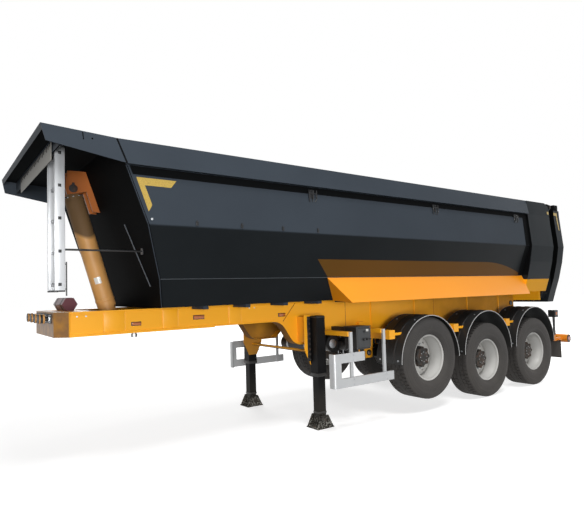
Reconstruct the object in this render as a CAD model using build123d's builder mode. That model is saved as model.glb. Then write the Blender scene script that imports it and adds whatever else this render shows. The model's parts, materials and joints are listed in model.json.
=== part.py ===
"""Three-axle dump semi-trailer with a telescopic front cylinder and a top-hung tailgate.

Frame: millimetres, +Z up, the coupling nose at -X, the tailgate at +X, the left side at -Y.
The origin is on the ground, under the middle of the vehicle.
"""

import os
from math import hypot

from build123d import *

os.makedirs("parts", exist_ok=True)

# ---------------------------------------------------------------- overall sizes
OVERALL_WIDTH = 2550
HALF_WIDTH = OVERALL_WIDTH / 2
BODY_LENGTH = 6800      # along the floor
BODY_HEIGHT = 1490      # from the floor to the top of the rails
BODY_REAR_X = 3720
BEAM_TOP_Z = 1490
REST_GAP = 0.3          # between pieces that sit on each other
RUNNING_GAP = 0.5       # radial, between a pin and its bore
MOVING_GAP = 8          # between pieces that pass each other


def half_at(inset):
    """Distance from the centre line of a point that lies inset from the overall width."""
    return HALF_WIDTH - inset


# ---------------------------------------------------------------- running gear
TYRE_RADIUS = 536
TYRE_WIDTH = 385
TYRE_INSET = 62.5       # the tyres' outer walls stand this far inside the full width
TYRE_WALL_RADIUS = 420  # where the side walls are widest
TYRE_SHOULDER_INSET = 14
TYRE_SHOULDER_ROUND = 28
RIM_SEAT_RADIUS = 285.75
RIM_WIDTH = 298
RIM_WALL = 9
AXLE_SPACING = 1310
MIDDLE_AXLE_X = 1790
LIFT_TRAVEL = 160       # the front axle is parked raised
AXLES = {
    "front": (MIDDLE_AXLE_X - AXLE_SPACING, TYRE_RADIUS + LIFT_TRAVEL),
    "middle": (MIDDLE_AXLE_X, TYRE_RADIUS),
    "rear": (MIDDLE_AXLE_X + AXLE_SPACING, TYRE_RADIUS),
}
FRONT_AXLE_X = MIDDLE_AXLE_X - AXLE_SPACING
SIDES = {"left": -1, "right": 1}
WHEEL_CENTRE_Y = half_at(TYRE_INSET + TYRE_WIDTH / 2)
AXLE_TUBE_RADIUS = 73
SPINDLE_RADIUS = 40
SPINDLE_REACH = 35      # beyond the wheel's middle
HUB_RADIUS = 105
HUB_REACH = 48
HUB_CAP = 12
DRUM_RADIUS = 210
DRUM_WIDTH = 190
DRUM_INNER_Y = WHEEL_CENTRE_Y - DRUM_WIDTH - 30
WHEEL_DISC_THICKNESS = 14
WHEEL_DISC_INSET = 60   # from the rim's inner edge

# ---------------------------------------------------------------- chassis
FRONT_FOOT_X = BODY_REAR_X - BODY_LENGTH    # foot of the body's front wall
BEAM_OUTER_Y = 560
BEAM_FLANGE_WIDTH = 140
BEAM_FLANGE = 14
BEAM_WEB = 12
WEB_INSET = 14          # the web stands this far in from the flange edge
NECK_DEPTH = 225        # beam height over the coupling
REAR_DEPTH = 430        # beam height over the axles
BEAM_FRONT_X = FRONT_FOOT_X - 750
BEAM_REAR_X = BODY_REAR_X - 80
BEAM_REAR_CUT = 80      # sloping cut that clears the tipping floor
NECK_END_X = FRONT_FOOT_X + 1496            # where the underside starts to drop
NECK_DROP_LENGTH = 430
NECK_FOOT_REAR_X = NECK_END_X + 704
NECK_FOOT_DEPTH = 525
TAIL_TAPER_X = BEAM_REAR_X - 560
TAIL_DEPTH = 380
WEB_OUTER_Y = BEAM_OUTER_Y - WEB_INSET
WEB_INNER_Y = WEB_OUTER_Y - BEAM_WEB
BEAM_INNER_Y = BEAM_OUTER_Y - BEAM_FLANGE_WIDTH
BEAM_MIDDLE_Y = (BEAM_INNER_Y + BEAM_OUTER_Y) / 2
NECK_BOTTOM_Z = BEAM_TOP_Z - NECK_DEPTH
REAR_BOTTOM_Z = BEAM_TOP_Z - REAR_DEPTH
NECK_FOOT_Z = BEAM_TOP_Z - NECK_FOOT_DEPTH
TAIL_BOTTOM_Z = BEAM_TOP_Z - TAIL_DEPTH

NOSE_FRONT_X = BEAM_FRONT_X - 120
NOSE_CORNER = 125
DECK_LENGTH = 230       # plate behind the nose, between the beams
DECK_PLATE = 10
COUPLING_PLATE = 10
KINGPIN_X = BEAM_FRONT_X + 780
COUPLING_PLATE_REAR_X = KINGPIN_X + 700
COUPLING_PLATE_TOP_Z = NECK_BOTTOM_Z
COUPLING_PLATE_BOTTOM_Z = COUPLING_PLATE_TOP_Z - COUPLING_PLATE
KINGPIN_RADIUS = 25.4
KINGPIN_COLLAR_RADIUS = 36.5
KINGPIN_DROP = 84
KINGPIN_NECK_LENGTH = 49
KINGPIN_FLANGE_RADIUS = 100
CROSSMEMBER_HEIGHT = 120
CROSSMEMBER_WIDTH = 80
CROSSMEMBER_TOP_Z = BEAM_TOP_Z - 50
CROSSMEMBER_XS = (
    KINGPIN_X + 550,
    NECK_END_X + 84,
    FRONT_AXLE_X - 780,
    FRONT_AXLE_X + AXLE_SPACING / 2,
    MIDDLE_AXLE_X + AXLE_SPACING / 2,
    TAIL_TAPER_X + 170,
)
REST_PAD_XS = (FRONT_FOOT_X + 380, NECK_END_X + 284, 100, 1500, 2700)
REST_PAD_LENGTH = 300
REST_PAD_WIDTH = 100
REST_PAD_HEIGHT = 10

# ---------------------------------------------------------------- landing legs
LEG_X = NECK_END_X + 494
LEG_HOUSING = 130
LEG_INNER_TUBE = 105
LEG_TOP_Z = BEAM_TOP_Z - 180
LEG_HOUSING_BOTTOM_Z = 600
LEG_FOOT_LENGTH = 250
LEG_FOOT_WIDTH = 220
LEG_FOOT_PLATE = 12
LEG_FOOT_HEIGHT = 150
LEG_FOOT_RIB = 48
LEG_GUSSET_SHARE = 0.4  # the gussets' and brackets' plates stand this far out, of the full width
LEG_BRACKET_REACH = 170  # from the web to the leg's inner face
LEG_BRACKET_PLATE = 12
LEG_BRACKET_LENGTH = 300
LEG_BRACKET_RISE = 20   # over the top of the leg
LEG_BRACKET_SHOULDER_Z = NECK_FOOT_Z - 60
LEG_BRACKET_BOTTOM_Z = 730
LEG_SHAFT_RADIUS = 18
LEG_SHAFT_Z = 880
LEG_INNER_FACE_Y = WEB_OUTER_Y + LEG_BRACKET_REACH
LEG_Y = LEG_INNER_FACE_Y + LEG_HOUSING / 2
BRACKET_OUTER_Y = LEG_INNER_FACE_Y - REST_GAP

# ---------------------------------------------------------------- suspension
ARM_WIDTH = 90
ARM_DEPTH = 90
ARM_PIVOT_OFFSET = 500
ARM_PIVOT_HALF = 60
ARM_PIVOT_Z = REAR_BOTTOM_Z - 300
ARM_SPRING_OFFSET = 350
HANGER_WIDTH = 130
HANGER_LENGTH = 190
HANGER_DROP = 70        # below the arm's pivot
SPRING_RADIUS = 130
SPRING_SEAT_RISE = 30   # seat over the top of the axle tube
SPRING_LEVERAGE = 0.5   # how much further a seat rises than its axle

# ---------------------------------------------------------------- tipping body
WALL = 12
FLOOR_Z = BEAM_TOP_Z + REST_PAD_HEIGHT      # underside of the floor
RAIL_TOP_Z = FLOOR_Z + BODY_HEIGHT
RAIL_BOTTOM_Z = RAIL_TOP_Z - 220
RAIL_TOP_HALF = half_at(70)
RAIL_BOTTOM_HALF = half_at(25)
PANEL_TOP_HALF = half_at(95)
UPPER_BEND_Z = FLOOR_Z + 750
UPPER_BEND_HALF = half_at(35)
MIDDLE_BEND_Z = FLOOR_Z + 475
MIDDLE_BEND_HALF = half_at(135)
LOWER_BEND_Z = FLOOR_Z + 270
LOWER_BEND_HALF = half_at(205)
FLOOR_HALF = half_at(395)
FLOOR_SEAM_Y = FLOOR_HALF - 60  # the floor sheet meets the side sheets inside the bend
FRONT_LEAN = 0.34       # the front wall leans forward by this much for each unit of height
REAR_FRAME_FRONT_X = BODY_REAR_X - 690
REAR_FRAME_CHAMFER = 60
SILL_LENGTH = 60
SILL_HEIGHT = 155
SILL_HALF_WIDTH = half_at(275)
SKIRT_SHEET = 8
SKIRT_FOOT_Z = FLOOR_Z - 30
SKIRT_FOOT_HALF = half_at(75)
SKIRT_FOOT_FRONT_X = NECK_FOOT_REAR_X
SKIRT_TOP_FRONT_X = SKIRT_FOOT_FRONT_X - 264

# ---------------------------------------------------------------- canopy over the cylinder head
CANOPY_FRONT_X = FRONT_FOOT_X - 1110
CANOPY_FRONT_TOP_Z = RAIL_TOP_Z + 35
CANOPY_FRONT_BOTTOM_Z = RAIL_TOP_Z - 112
CANOPY_LIP_RAKE = 35
CANOPY_SHEET = 10

# ---------------------------------------------------------------- tipping pivot
PIVOT_X = BODY_REAR_X - 180
PIVOT_Z = BEAM_TOP_Z - 190
PIVOT_RADIUS = 40
PIVOT_EAR_RADIUS = 85
PIVOT_EAR_OUTER_Y = BEAM_INNER_Y - 20
PIVOT_EAR_THICKNESS = 55

# ---------------------------------------------------------------- tipping cylinder
TRUNNION_X = FRONT_FOOT_X - 221
TRUNNION_Z = BEAM_TOP_Z - 105
TRUNNION_CROSS_XS = (TRUNNION_X - 185, TRUNNION_X + 195)
HEAD_PIN_X = FRONT_FOOT_X - 614
HEAD_PIN_Z = RAIL_TOP_Z - 249
COVER_RADIUS = 95
COVER_WALL = 5
COVER_START = 140       # distances along the cylinder start at the trunnion
CAP_THICKNESS = 25
CAP_TO_EYE = 82
CAP_TO_BASE = 70        # clear height under the cap that the stages' steps use
STAGE_STEP = 7.5        # each stage is this much smaller in radius than the one before
STAGE_WALL = 7
STAGE_COUNT = 4
STAGE_FLOOR = 12
STAGE_STAND_OFF = 8
BASE_RADIUS = COVER_RADIUS - COVER_WALL - STAGE_STEP
BASE_START = 45
TRUNNION_PIN_RADIUS = 30
TRUNNION_BOSS_RADIUS = 75
TRUNNION_BOSS_HALF = BASE_RADIUS + 7.5
TRUNNION_PLATE = 25
TRUNNION_PLATE_LENGTH = 380
TRUNNION_PLATE_INNER_Y = TRUNNION_BOSS_HALF + MOVING_GAP
HEAD_EYE_RADIUS = 50
HEAD_EYE_HALF = 48
HEAD_BUSH_RADIUS = 40
HEAD_EAR_INNER_Y = HEAD_EYE_HALF + 10
HEAD_EAR_THICKNESS = 20

# ---------------------------------------------------------------- tailgate
GATE_FRONT_X = BODY_REAR_X + 15
GATE_RIM_FRONT_X = BODY_REAR_X + 160
GATE_REAR_X = BODY_REAR_X + 355
GATE_TOP_Z = RAIL_TOP_Z - 105
GATE_BOTTOM_Z = FLOOR_Z - 195
GATE_SKIN = 12
GATE_RECESS = 70
GATE_BAND = 60
GATE_HINGE_X = BODY_REAR_X + 75
GATE_HINGE_Z = RAIL_TOP_Z - 60
GATE_PIN_RADIUS = 15
GATE_LUG_RADIUS = 30
GATE_LUG_OUTER_Y = half_at(130)
GATE_LUG_THICKNESS = 60
GATE_EAR_INNER_Y = half_at(93)
GATE_EAR_THICKNESS = 25
GATE_PIN_INNER_Y = GATE_LUG_OUTER_Y - GATE_LUG_THICKNESS - 5
GATE_RIB_DEPTH = 120
GATE_RIB_WIDTH = 90
GATE_RIB_SHARES = (1 / 4, 1 / 2, 3 / 4)
GATE_INNER_BOTTOM_Z = GATE_BOTTOM_Z + GATE_RECESS + GATE_BAND
GATE_INNER_TOP_Z = GATE_TOP_Z - GATE_BAND

# ---------------------------------------------------------------- mudguards
MUDGUARD_RADIUS = TYRE_RADIUS + 50
MUDGUARD_SHEET = 6
MUDGUARD_OUTER_RADIUS = MUDGUARD_RADIUS + MUDGUARD_SHEET
MUDGUARD_Z = TYRE_RADIUS + 129
MUDGUARD_OUTER_Y = half_at(60)
MUDGUARD_INNER_Y = MUDGUARD_OUTER_Y - 425
CARRIER_XS = [x - AXLE_SPACING / 2 for x, _ in AXLES.values()]
CARRIER_WIDTH = 100
CARRIER_HEIGHT = 110
CARRIER_BOTTOM_Z = REAR_BOTTOM_Z - 75
CARRIER_Z = CARRIER_BOTTOM_Z + CARRIER_HEIGHT / 2
CARRIER_OUTER_Y = half_at(140)
CARRIER_ROOT_Y = BEAM_OUTER_Y + 37  # the bracket on the beam's web ends here
STAY_SIZE = 30
STAY_REACH = AXLE_SPACING / 2       # trimmed back to the mudguards' curve
STAY_YS = (MUDGUARD_INNER_Y + 2 * STAY_SIZE, CARRIER_OUTER_Y - 1.5 * STAY_SIZE)

# ---------------------------------------------------------------- rear end
BUMPER_RADIUS = 72
BUMPER_X = BODY_REAR_X + 398
BUMPER_Z = 665
BUMPER_HALF_WIDTH = half_at(20)
BUMPER_ARM_X = BEAM_REAR_X - 45
BUMPER_ARM_Y = BEAM_INNER_Y + 50
BUMPER_ARM_THICKNESS = 70
BUMPER_ARM_INSET = 5    # the arms end this far inside the tube's wall
MUDFLAP_X = BODY_REAR_X + 185
MUDFLAP_THICKNESS = 10
MUDFLAP_BOTTOM_Z = 350
MUDFLAP_TOP_Z = 640
LAMP_CARRIER_X = BODY_REAR_X + 70
LAMP_CARRIER_LENGTH = 110
LAMP_CARRIER_BOTTOM_Z = REAR_BOTTOM_Z - 10
LAMP_CARRIER_HEIGHT = 120
LAMP_CARRIER_INNER_Y = half_at(165)
LAMP_CARRIER_OUTER_Y = half_at(50)
STRUT_Y = half_at(125)  # flat bars from the bumper tube to the lamp boxes
STRUT_THICKNESS = 20
STRUT_DEPTH = 50
STRUT_FRONT_X = LAMP_CARRIER_X + 5

# ---------------------------------------------------------------- side guards
GUARD_FRONT_X = LEG_X - 110
GUARD_OUTER_Y = half_at(75)
GUARD_PROFILE = 28
GUARD_INNER_Y = GUARD_OUTER_Y - GUARD_PROFILE
GUARD_TOP_RAIL_Z = 788
GUARD_BOTTOM_RAIL_Z = 508
GUARD_RAIL_HEIGHT = 105
GUARD_TOP_Z = GUARD_TOP_RAIL_Z + GUARD_RAIL_HEIGHT
GUARD_TOP_RAIL_REAR_X = GUARD_FRONT_X + 478
GUARD_BOTTOM_RAIL_REAR_X = FRONT_AXLE_X - 715
GUARD_CORNER = 60
GUARD_POST_XS = (GUARD_FRONT_X + 295, GUARD_BOTTOM_RAIL_REAR_X - 125)
GUARD_POST_WIDTH = 40
GUARD_POST_THICKNESS = 24
GUARD_ARM_TOP_Z = REAR_BOTTOM_Z + 68
GUARD_ARM_HEIGHT = 50
GUARD_ARM_WIDTH = 70

# ---------------------------------------------------------------- ladder
LADDER_FRONT_X = FRONT_FOOT_X - 950
LADDER_STILE_DEPTH = 85
LADDER_REAR_X = LADDER_FRONT_X + LADDER_STILE_DEPTH
LADDER_STILE_THICKNESS = 25
LADDER_INNER_Y = 610
LADDER_OUTER_Y = 890
LADDER_BOTTOM_Z = FLOOR_Z + 180
LADDER_RUNGS = 5
LADDER_RUNG_PITCH = 285
LADDER_RUNG_RADIUS = 14
LADDER_FIRST_RUNG = 60
LADDER_STAY_RADIUS = 12
LADDER_STAY_Z = LADDER_BOTTOM_Z + 360

# ---------------------------------------------------------------- equipment on the chassis
TANK_RADIUS = 105
TANK_LENGTH = 700
TANK_XS = (FRONT_AXLE_X - 1220, FRONT_AXLE_X - 970)
TANK_Z = REAR_BOTTOM_Z - 155
TANK_HANGER_Y = 210
TANK_HANGER_WIDTH = 60
TANK_HANGER_PLATE = 8
VALVE_BOX_X = FRONT_AXLE_X - 1120
VALVE_BOX_LENGTH = 230
VALVE_BOX_BOTTOM_Z = REAR_BOTTOM_Z - 155
VALVE_BOX_HEIGHT = 265
VALVE_BOX_INNER_Y = half_at(395)
VALVE_BOX_OUTER_Y = half_at(165)
VALVE_BOX_CORNER = 20
VALVE_ARM_WIDTH = 60
VALVE_ARM_HEIGHT = 50
VALVE_ARM_TOP_Z = REAR_BOTTOM_Z + 95
TOOL_BOX_X = BEAM_FRONT_X + 110
TOOL_BOX_Y = 170
TOOL_BOX_LENGTH = 420
TOOL_BOX_ACROSS = 130
COUPLING_Z = BEAM_TOP_Z - 60
COUPLING_RADIUS = 42
COUPLING_NECK_RADIUS = 22
COUPLING_NECK_LENGTH = 45
COUPLING_HEAD_LENGTH = 55
COUPLING_YS = (-300, -100, 100, 300)
COUPLING_BOARD_LENGTH = 720
COUPLING_BOARD_HEIGHT = 90
COUPLING_BOARD = 8


def save(piece, name):
    """Label a finished piece and write it as a STEP file."""
    piece.part.label = name
    export_step(piece.part, f"parts/{name}.step")


def front_x(z):
    """X of the front wall's outer face at a height."""
    return FRONT_FOOT_X - FRONT_LEAN * (z - FLOOR_Z)


def front_plane(depth=0):
    """Plane of the front wall's outer face, moved back into the body by depth."""
    length = hypot(1, FRONT_LEAN)
    plane = Plane(
        origin=(FRONT_FOOT_X, 0, FLOOR_Z),
        x_dir=(0, 1, 0),
        z_dir=(-1 / length, 0, -FRONT_LEAN / length),
    )
    return plane.offset(-depth)


def side_plane(y):
    """Plane parallel to XZ at a given Y; local x is +X, local y is +Z, extrusion goes to -Y."""
    return Plane.XZ.offset(-y)


def mirrored(piece):
    """The same piece on the other side of the vehicle."""
    with BuildPart() as twin:
        mirror(piece.part, about=Plane.XZ)
    return twin


def both_sides(piece):
    """The piece and its mirror image together."""
    with BuildPart() as pair:
        add(piece.part)
        mirror(piece.part, about=Plane.XZ)
    return pair


# ================================================================ chassis beams
def beam_outline():
    """Side view of a chassis beam: shallow neck, curved drop, deep rear, tapered tail."""
    with BuildSketch() as outline:
        with BuildLine():
            top = Line((BEAM_FRONT_X, BEAM_TOP_Z), (BEAM_REAR_X - BEAM_REAR_CUT, BEAM_TOP_Z))
            Polyline(
                top @ 1,
                (BEAM_REAR_X, BEAM_TOP_Z - BEAM_REAR_CUT),
                (BEAM_REAR_X, TAIL_BOTTOM_Z),
                (TAIL_TAPER_X, REAR_BOTTOM_Z),
                (NECK_FOOT_REAR_X + (NECK_FOOT_DEPTH - REAR_DEPTH), REAR_BOTTOM_Z),
                (NECK_FOOT_REAR_X, NECK_FOOT_Z),
                (NECK_END_X + NECK_DROP_LENGTH, NECK_FOOT_Z),
            )
            Spline(
                (NECK_END_X + NECK_DROP_LENGTH, NECK_FOOT_Z),
                (NECK_END_X, NECK_BOTTOM_Z),
                tangents=((-1, 0), (-1, 0)),
            )
            Polyline(
                (NECK_END_X, NECK_BOTTOM_Z),
                (BEAM_FRONT_X, NECK_BOTTOM_Z),
                (BEAM_FRONT_X, BEAM_TOP_Z),
            )
        make_face()
    return outline.sketch


OUTLINE = beam_outline()

with BuildPart() as chassis_beam_left:
    with BuildSketch(side_plane(-WEB_INNER_Y)):
        add(OUTLINE)
        with Locations((PIVOT_X, PIVOT_Z)):
            Circle(PIVOT_RADIUS + REST_GAP, mode=Mode.SUBTRACT)
    extrude(amount=BEAM_WEB)
    with BuildSketch(side_plane(-BEAM_INNER_Y)):
        add(OUTLINE)
        with Locations((0, BEAM_FLANGE)):
            add(OUTLINE, mode=Mode.SUBTRACT)
    extrude(amount=BEAM_FLANGE_WIDTH)
    with BuildSketch(side_plane(-BEAM_INNER_Y)):
        with Locations((BEAM_FRONT_X, BEAM_TOP_Z)):
            Rectangle(
                BEAM_REAR_X - BEAM_REAR_CUT - BEAM_FRONT_X,
                BEAM_FLANGE,
                align=(Align.MIN, Align.MAX),
            )
    extrude(amount=BEAM_FLANGE_WIDTH)
save(chassis_beam_left, "chassis_beam_left")
chassis_beam_right = mirrored(chassis_beam_left)
save(chassis_beam_right, "chassis_beam_right")

# ================================================================ crossmembers
with BuildPart() as chassis_crossmembers:
    for x in CROSSMEMBER_XS:
        with BuildSketch(Plane.XZ):
            with Locations((x, CROSSMEMBER_TOP_Z - CROSSMEMBER_HEIGHT / 2)):
                Rectangle(CROSSMEMBER_WIDTH, CROSSMEMBER_HEIGHT)
        extrude(amount=WEB_INNER_Y, both=True)
    with BuildSketch(Plane.XY.offset(NECK_BOTTOM_Z)):
        with BuildLine():
            Polyline(
                (BEAM_FRONT_X, -BEAM_OUTER_Y),
                (NOSE_FRONT_X, -BEAM_OUTER_Y + NOSE_CORNER),
                (NOSE_FRONT_X, BEAM_OUTER_Y - NOSE_CORNER),
                (BEAM_FRONT_X, BEAM_OUTER_Y),
                close=True,
            )
        make_face()
    extrude(amount=NECK_DEPTH)
    with BuildSketch(Plane.XY.offset(BEAM_TOP_Z - REST_GAP)):
        with Locations((BEAM_FRONT_X, 0)):
            Rectangle(DECK_LENGTH, 2 * BEAM_INNER_Y, align=(Align.MIN, Align.CENTER))
    extrude(amount=-DECK_PLATE)
save(chassis_crossmembers, "chassis_crossmembers")

with BuildPart() as coupling_plate:
    with BuildSketch(Plane.XY.offset(COUPLING_PLATE_BOTTOM_Z)):
        with BuildLine():
            Polyline(
                (BEAM_FRONT_X, -BEAM_OUTER_Y),
                (NOSE_FRONT_X, -BEAM_OUTER_Y + NOSE_CORNER),
                (NOSE_FRONT_X, BEAM_OUTER_Y - NOSE_CORNER),
                (BEAM_FRONT_X, BEAM_OUTER_Y),
                (COUPLING_PLATE_REAR_X, BEAM_OUTER_Y),
                (COUPLING_PLATE_REAR_X, -BEAM_OUTER_Y),
                close=True,
            )
        make_face()
        with Locations((KINGPIN_X, 0)):
            Circle(KINGPIN_FLANGE_RADIUS, mode=Mode.SUBTRACT)
    extrude(amount=COUPLING_PLATE)
save(coupling_plate, "coupling_plate")

with BuildPart() as kingpin:
    with BuildSketch(Plane.XY.offset(COUPLING_PLATE_BOTTOM_Z)):
        with Locations((KINGPIN_X, 0)):
            Circle(KINGPIN_FLANGE_RADIUS)
    extrude(amount=2 * COUPLING_PLATE)
    with BuildSketch(Plane.XY.offset(COUPLING_PLATE_BOTTOM_Z)):
        with Locations((KINGPIN_X, 0)):
            Circle(KINGPIN_RADIUS)
    extrude(amount=-KINGPIN_DROP)
    with BuildSketch(Plane.XY.offset(COUPLING_PLATE_BOTTOM_Z - KINGPIN_NECK_LENGTH)):
        with Locations((KINGPIN_X, 0)):
            Circle(KINGPIN_COLLAR_RADIUS)
    extrude(amount=-(KINGPIN_DROP - KINGPIN_NECK_LENGTH))
save(kingpin, "kingpin")

with BuildPart() as cylinder_cradle:
    for x in TRUNNION_CROSS_XS:
        with BuildSketch(Plane.XZ):
            with Locations((x, (BEAM_TOP_Z + COUPLING_PLATE_TOP_Z) / 2)):
                Rectangle(CROSSMEMBER_WIDTH / 2, NECK_DEPTH - 2 * BEAM_FLANGE)
        extrude(amount=WEB_INNER_Y, both=True)
    for side in SIDES.values():
        inner = TRUNNION_PLATE_INNER_Y if side < 0 else -TRUNNION_PLATE_INNER_Y - TRUNNION_PLATE
        with BuildSketch(Plane.XZ.offset(inner)):
            with Locations((sum(TRUNNION_CROSS_XS) / 2, (BEAM_TOP_Z + COUPLING_PLATE_TOP_Z) / 2)):
                Rectangle(TRUNNION_PLATE_LENGTH, NECK_DEPTH - 2 * BEAM_FLANGE)
            with Locations((TRUNNION_X, TRUNNION_Z)):
                Circle(TRUNNION_PIN_RADIUS + RUNNING_GAP, mode=Mode.SUBTRACT)
        extrude(amount=TRUNNION_PLATE)
save(cylinder_cradle, "cylinder_cradle")

with BuildPart() as body_rest_pads:
    for x in REST_PAD_XS:
        for side in SIDES.values():
            with BuildSketch(Plane.XY.offset(BEAM_TOP_Z)):
                with Locations((x, side * BEAM_MIDDLE_Y)):
                    Rectangle(REST_PAD_LENGTH, REST_PAD_WIDTH)
            extrude(amount=REST_PAD_HEIGHT - REST_GAP)
save(body_rest_pads, "body_rest_pads")

with BuildPart() as tipping_pivot_shaft:
    with BuildSketch(Plane.XZ):
        with Locations((PIVOT_X, PIVOT_Z)):
            Circle(PIVOT_RADIUS)
    extrude(amount=BEAM_OUTER_Y + RUNNING_GAP, both=True)
save(tipping_pivot_shaft, "tipping_pivot_shaft")

# ================================================================ landing gear
def landing_leg():
    """A two-part square leg with its sand shoe, on the left side."""
    with BuildPart() as leg:
        with BuildSketch(Plane.XY.offset(LEG_HOUSING_BOTTOM_Z)):
            with Locations((LEG_X, -LEG_Y)):
                Rectangle(LEG_HOUSING, LEG_HOUSING)
        extrude(amount=LEG_TOP_Z - LEG_HOUSING_BOTTOM_Z)
        with BuildSketch(Plane.XY.offset(LEG_FOOT_PLATE)):
            with Locations((LEG_X, -LEG_Y)):
                Rectangle(LEG_INNER_TUBE, LEG_INNER_TUBE)
        extrude(amount=LEG_HOUSING_BOTTOM_Z - LEG_FOOT_PLATE)
        with BuildSketch(Plane.XY):
            with Locations((LEG_X, -LEG_Y)):
                Rectangle(LEG_FOOT_LENGTH, LEG_FOOT_WIDTH)
        extrude(amount=LEG_FOOT_PLATE)
        for offset_y in (-LEG_GUSSET_SHARE, LEG_GUSSET_SHARE):
            with BuildSketch(side_plane(-LEG_Y + offset_y * LEG_FOOT_WIDTH)):
                with BuildLine():
                    Polyline(
                        (LEG_X - LEG_FOOT_LENGTH / 2, LEG_FOOT_PLATE),
                        (LEG_X + LEG_FOOT_LENGTH / 2, LEG_FOOT_PLATE),
                        (LEG_X + LEG_INNER_TUBE / 2, LEG_FOOT_HEIGHT),
                        (LEG_X - LEG_INNER_TUBE / 2, LEG_FOOT_HEIGHT),
                        close=True,
                    )
                make_face()
            extrude(amount=LEG_FOOT_PLATE / 2, both=True)
        with BuildSketch(Plane.XZ.offset(LEG_Y)):
            with Locations((LEG_X, (LEG_FOOT_PLATE + LEG_FOOT_HEIGHT) / 2)):
                Rectangle(LEG_FOOT_RIB, LEG_FOOT_HEIGHT - LEG_FOOT_PLATE)
        extrude(amount=LEG_GUSSET_SHARE * LEG_FOOT_WIDTH, both=True)
    return leg


landing_legs = both_sides(landing_leg())
save(landing_legs, "landing_legs")

with BuildPart() as leg_bracket:
    with BuildSketch(side_plane(-BRACKET_OUTER_Y + LEG_BRACKET_PLATE)):
        with BuildLine():
            Polyline(
                (LEG_X - LEG_BRACKET_LENGTH / 2, LEG_TOP_Z + LEG_BRACKET_RISE),
                (LEG_X + LEG_BRACKET_LENGTH / 2, LEG_TOP_Z + LEG_BRACKET_RISE),
                (LEG_X + LEG_BRACKET_LENGTH / 2, LEG_BRACKET_SHOULDER_Z),
                (LEG_X + LEG_HOUSING / 2, LEG_BRACKET_BOTTOM_Z),
                (LEG_X - LEG_HOUSING / 2, LEG_BRACKET_BOTTOM_Z),
                (LEG_X - LEG_BRACKET_LENGTH / 2, LEG_BRACKET_SHOULDER_Z),
                close=True,
            )
        make_face()
    extrude(amount=LEG_BRACKET_PLATE)
    for offset_x in (-LEG_GUSSET_SHARE, LEG_GUSSET_SHARE):
        with BuildSketch(Plane.XZ.offset(WEB_OUTER_Y)):
            with Locations((LEG_X + offset_x * LEG_BRACKET_LENGTH, LEG_TOP_Z)):
                Rectangle(
                    LEG_BRACKET_PLATE,
                    LEG_TOP_Z - NECK_FOOT_Z - 2 * LEG_BRACKET_RISE,
                    align=(Align.CENTER, Align.MAX),
                )
        extrude(amount=BRACKET_OUTER_Y - LEG_BRACKET_PLATE - WEB_OUTER_Y)
leg_bracket_pair = both_sides(leg_bracket)

with BuildPart() as landing_leg_brackets:
    add(leg_bracket_pair.part)
    with BuildSketch(Plane.XZ):
        with Locations((LEG_X, LEG_SHAFT_Z)):
            Circle(LEG_SHAFT_RADIUS)
    extrude(amount=BRACKET_OUTER_Y - LEG_BRACKET_PLATE / 2, both=True)
save(landing_leg_brackets, "landing_leg_brackets")

# ================================================================ axles and suspension

def spring_seat_z(axle_z):
    """Height of an air spring's seat: it rises with its axle, by the arm's leverage."""
    return axle_z + AXLE_TUBE_RADIUS + SPRING_SEAT_RISE + SPRING_LEVERAGE * (axle_z - TYRE_RADIUS)


with BuildPart() as axles:
    for x, z in AXLES.values():
        with BuildSketch(Plane.XZ):
            with Locations((x, z)):
                Circle(AXLE_TUBE_RADIUS)
        extrude(amount=DRUM_INNER_Y - MOVING_GAP, both=True)
        with BuildSketch(Plane.XZ):
            with Locations((x, z)):
                Circle(SPINDLE_RADIUS)
        extrude(amount=WHEEL_CENTRE_Y + SPINDLE_REACH, both=True)
save(axles, "axles")

with BuildPart() as hanger_row:
    for x, _ in AXLES.values():
        with BuildSketch(Plane.XZ.offset(BEAM_MIDDLE_Y - HANGER_WIDTH / 2)):
            with BuildLine():
                Polyline(
                    (x - ARM_PIVOT_OFFSET - HANGER_LENGTH / 2, REAR_BOTTOM_Z),
                    (x - ARM_PIVOT_OFFSET + HANGER_LENGTH / 2, REAR_BOTTOM_Z),
                    (x - ARM_PIVOT_OFFSET + HANGER_LENGTH / 3, ARM_PIVOT_Z - HANGER_DROP),
                    (x - ARM_PIVOT_OFFSET - HANGER_LENGTH / 3, ARM_PIVOT_Z - HANGER_DROP),
                    close=True,
                )
            make_face()
        extrude(amount=HANGER_WIDTH)
        with BuildSketch(Plane.XZ.offset(BEAM_MIDDLE_Y - ARM_WIDTH / 2 - REST_GAP)):
            with Locations((x - ARM_PIVOT_OFFSET, ARM_PIVOT_Z + ARM_DEPTH)):
                Rectangle(
                    HANGER_LENGTH, 2 * HANGER_DROP + ARM_DEPTH, align=(Align.CENTER, Align.MAX)
                )
        extrude(amount=ARM_WIDTH + 2 * REST_GAP, mode=Mode.SUBTRACT)
suspension_hangers = both_sides(hanger_row)
save(suspension_hangers, "suspension_hangers")

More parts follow.
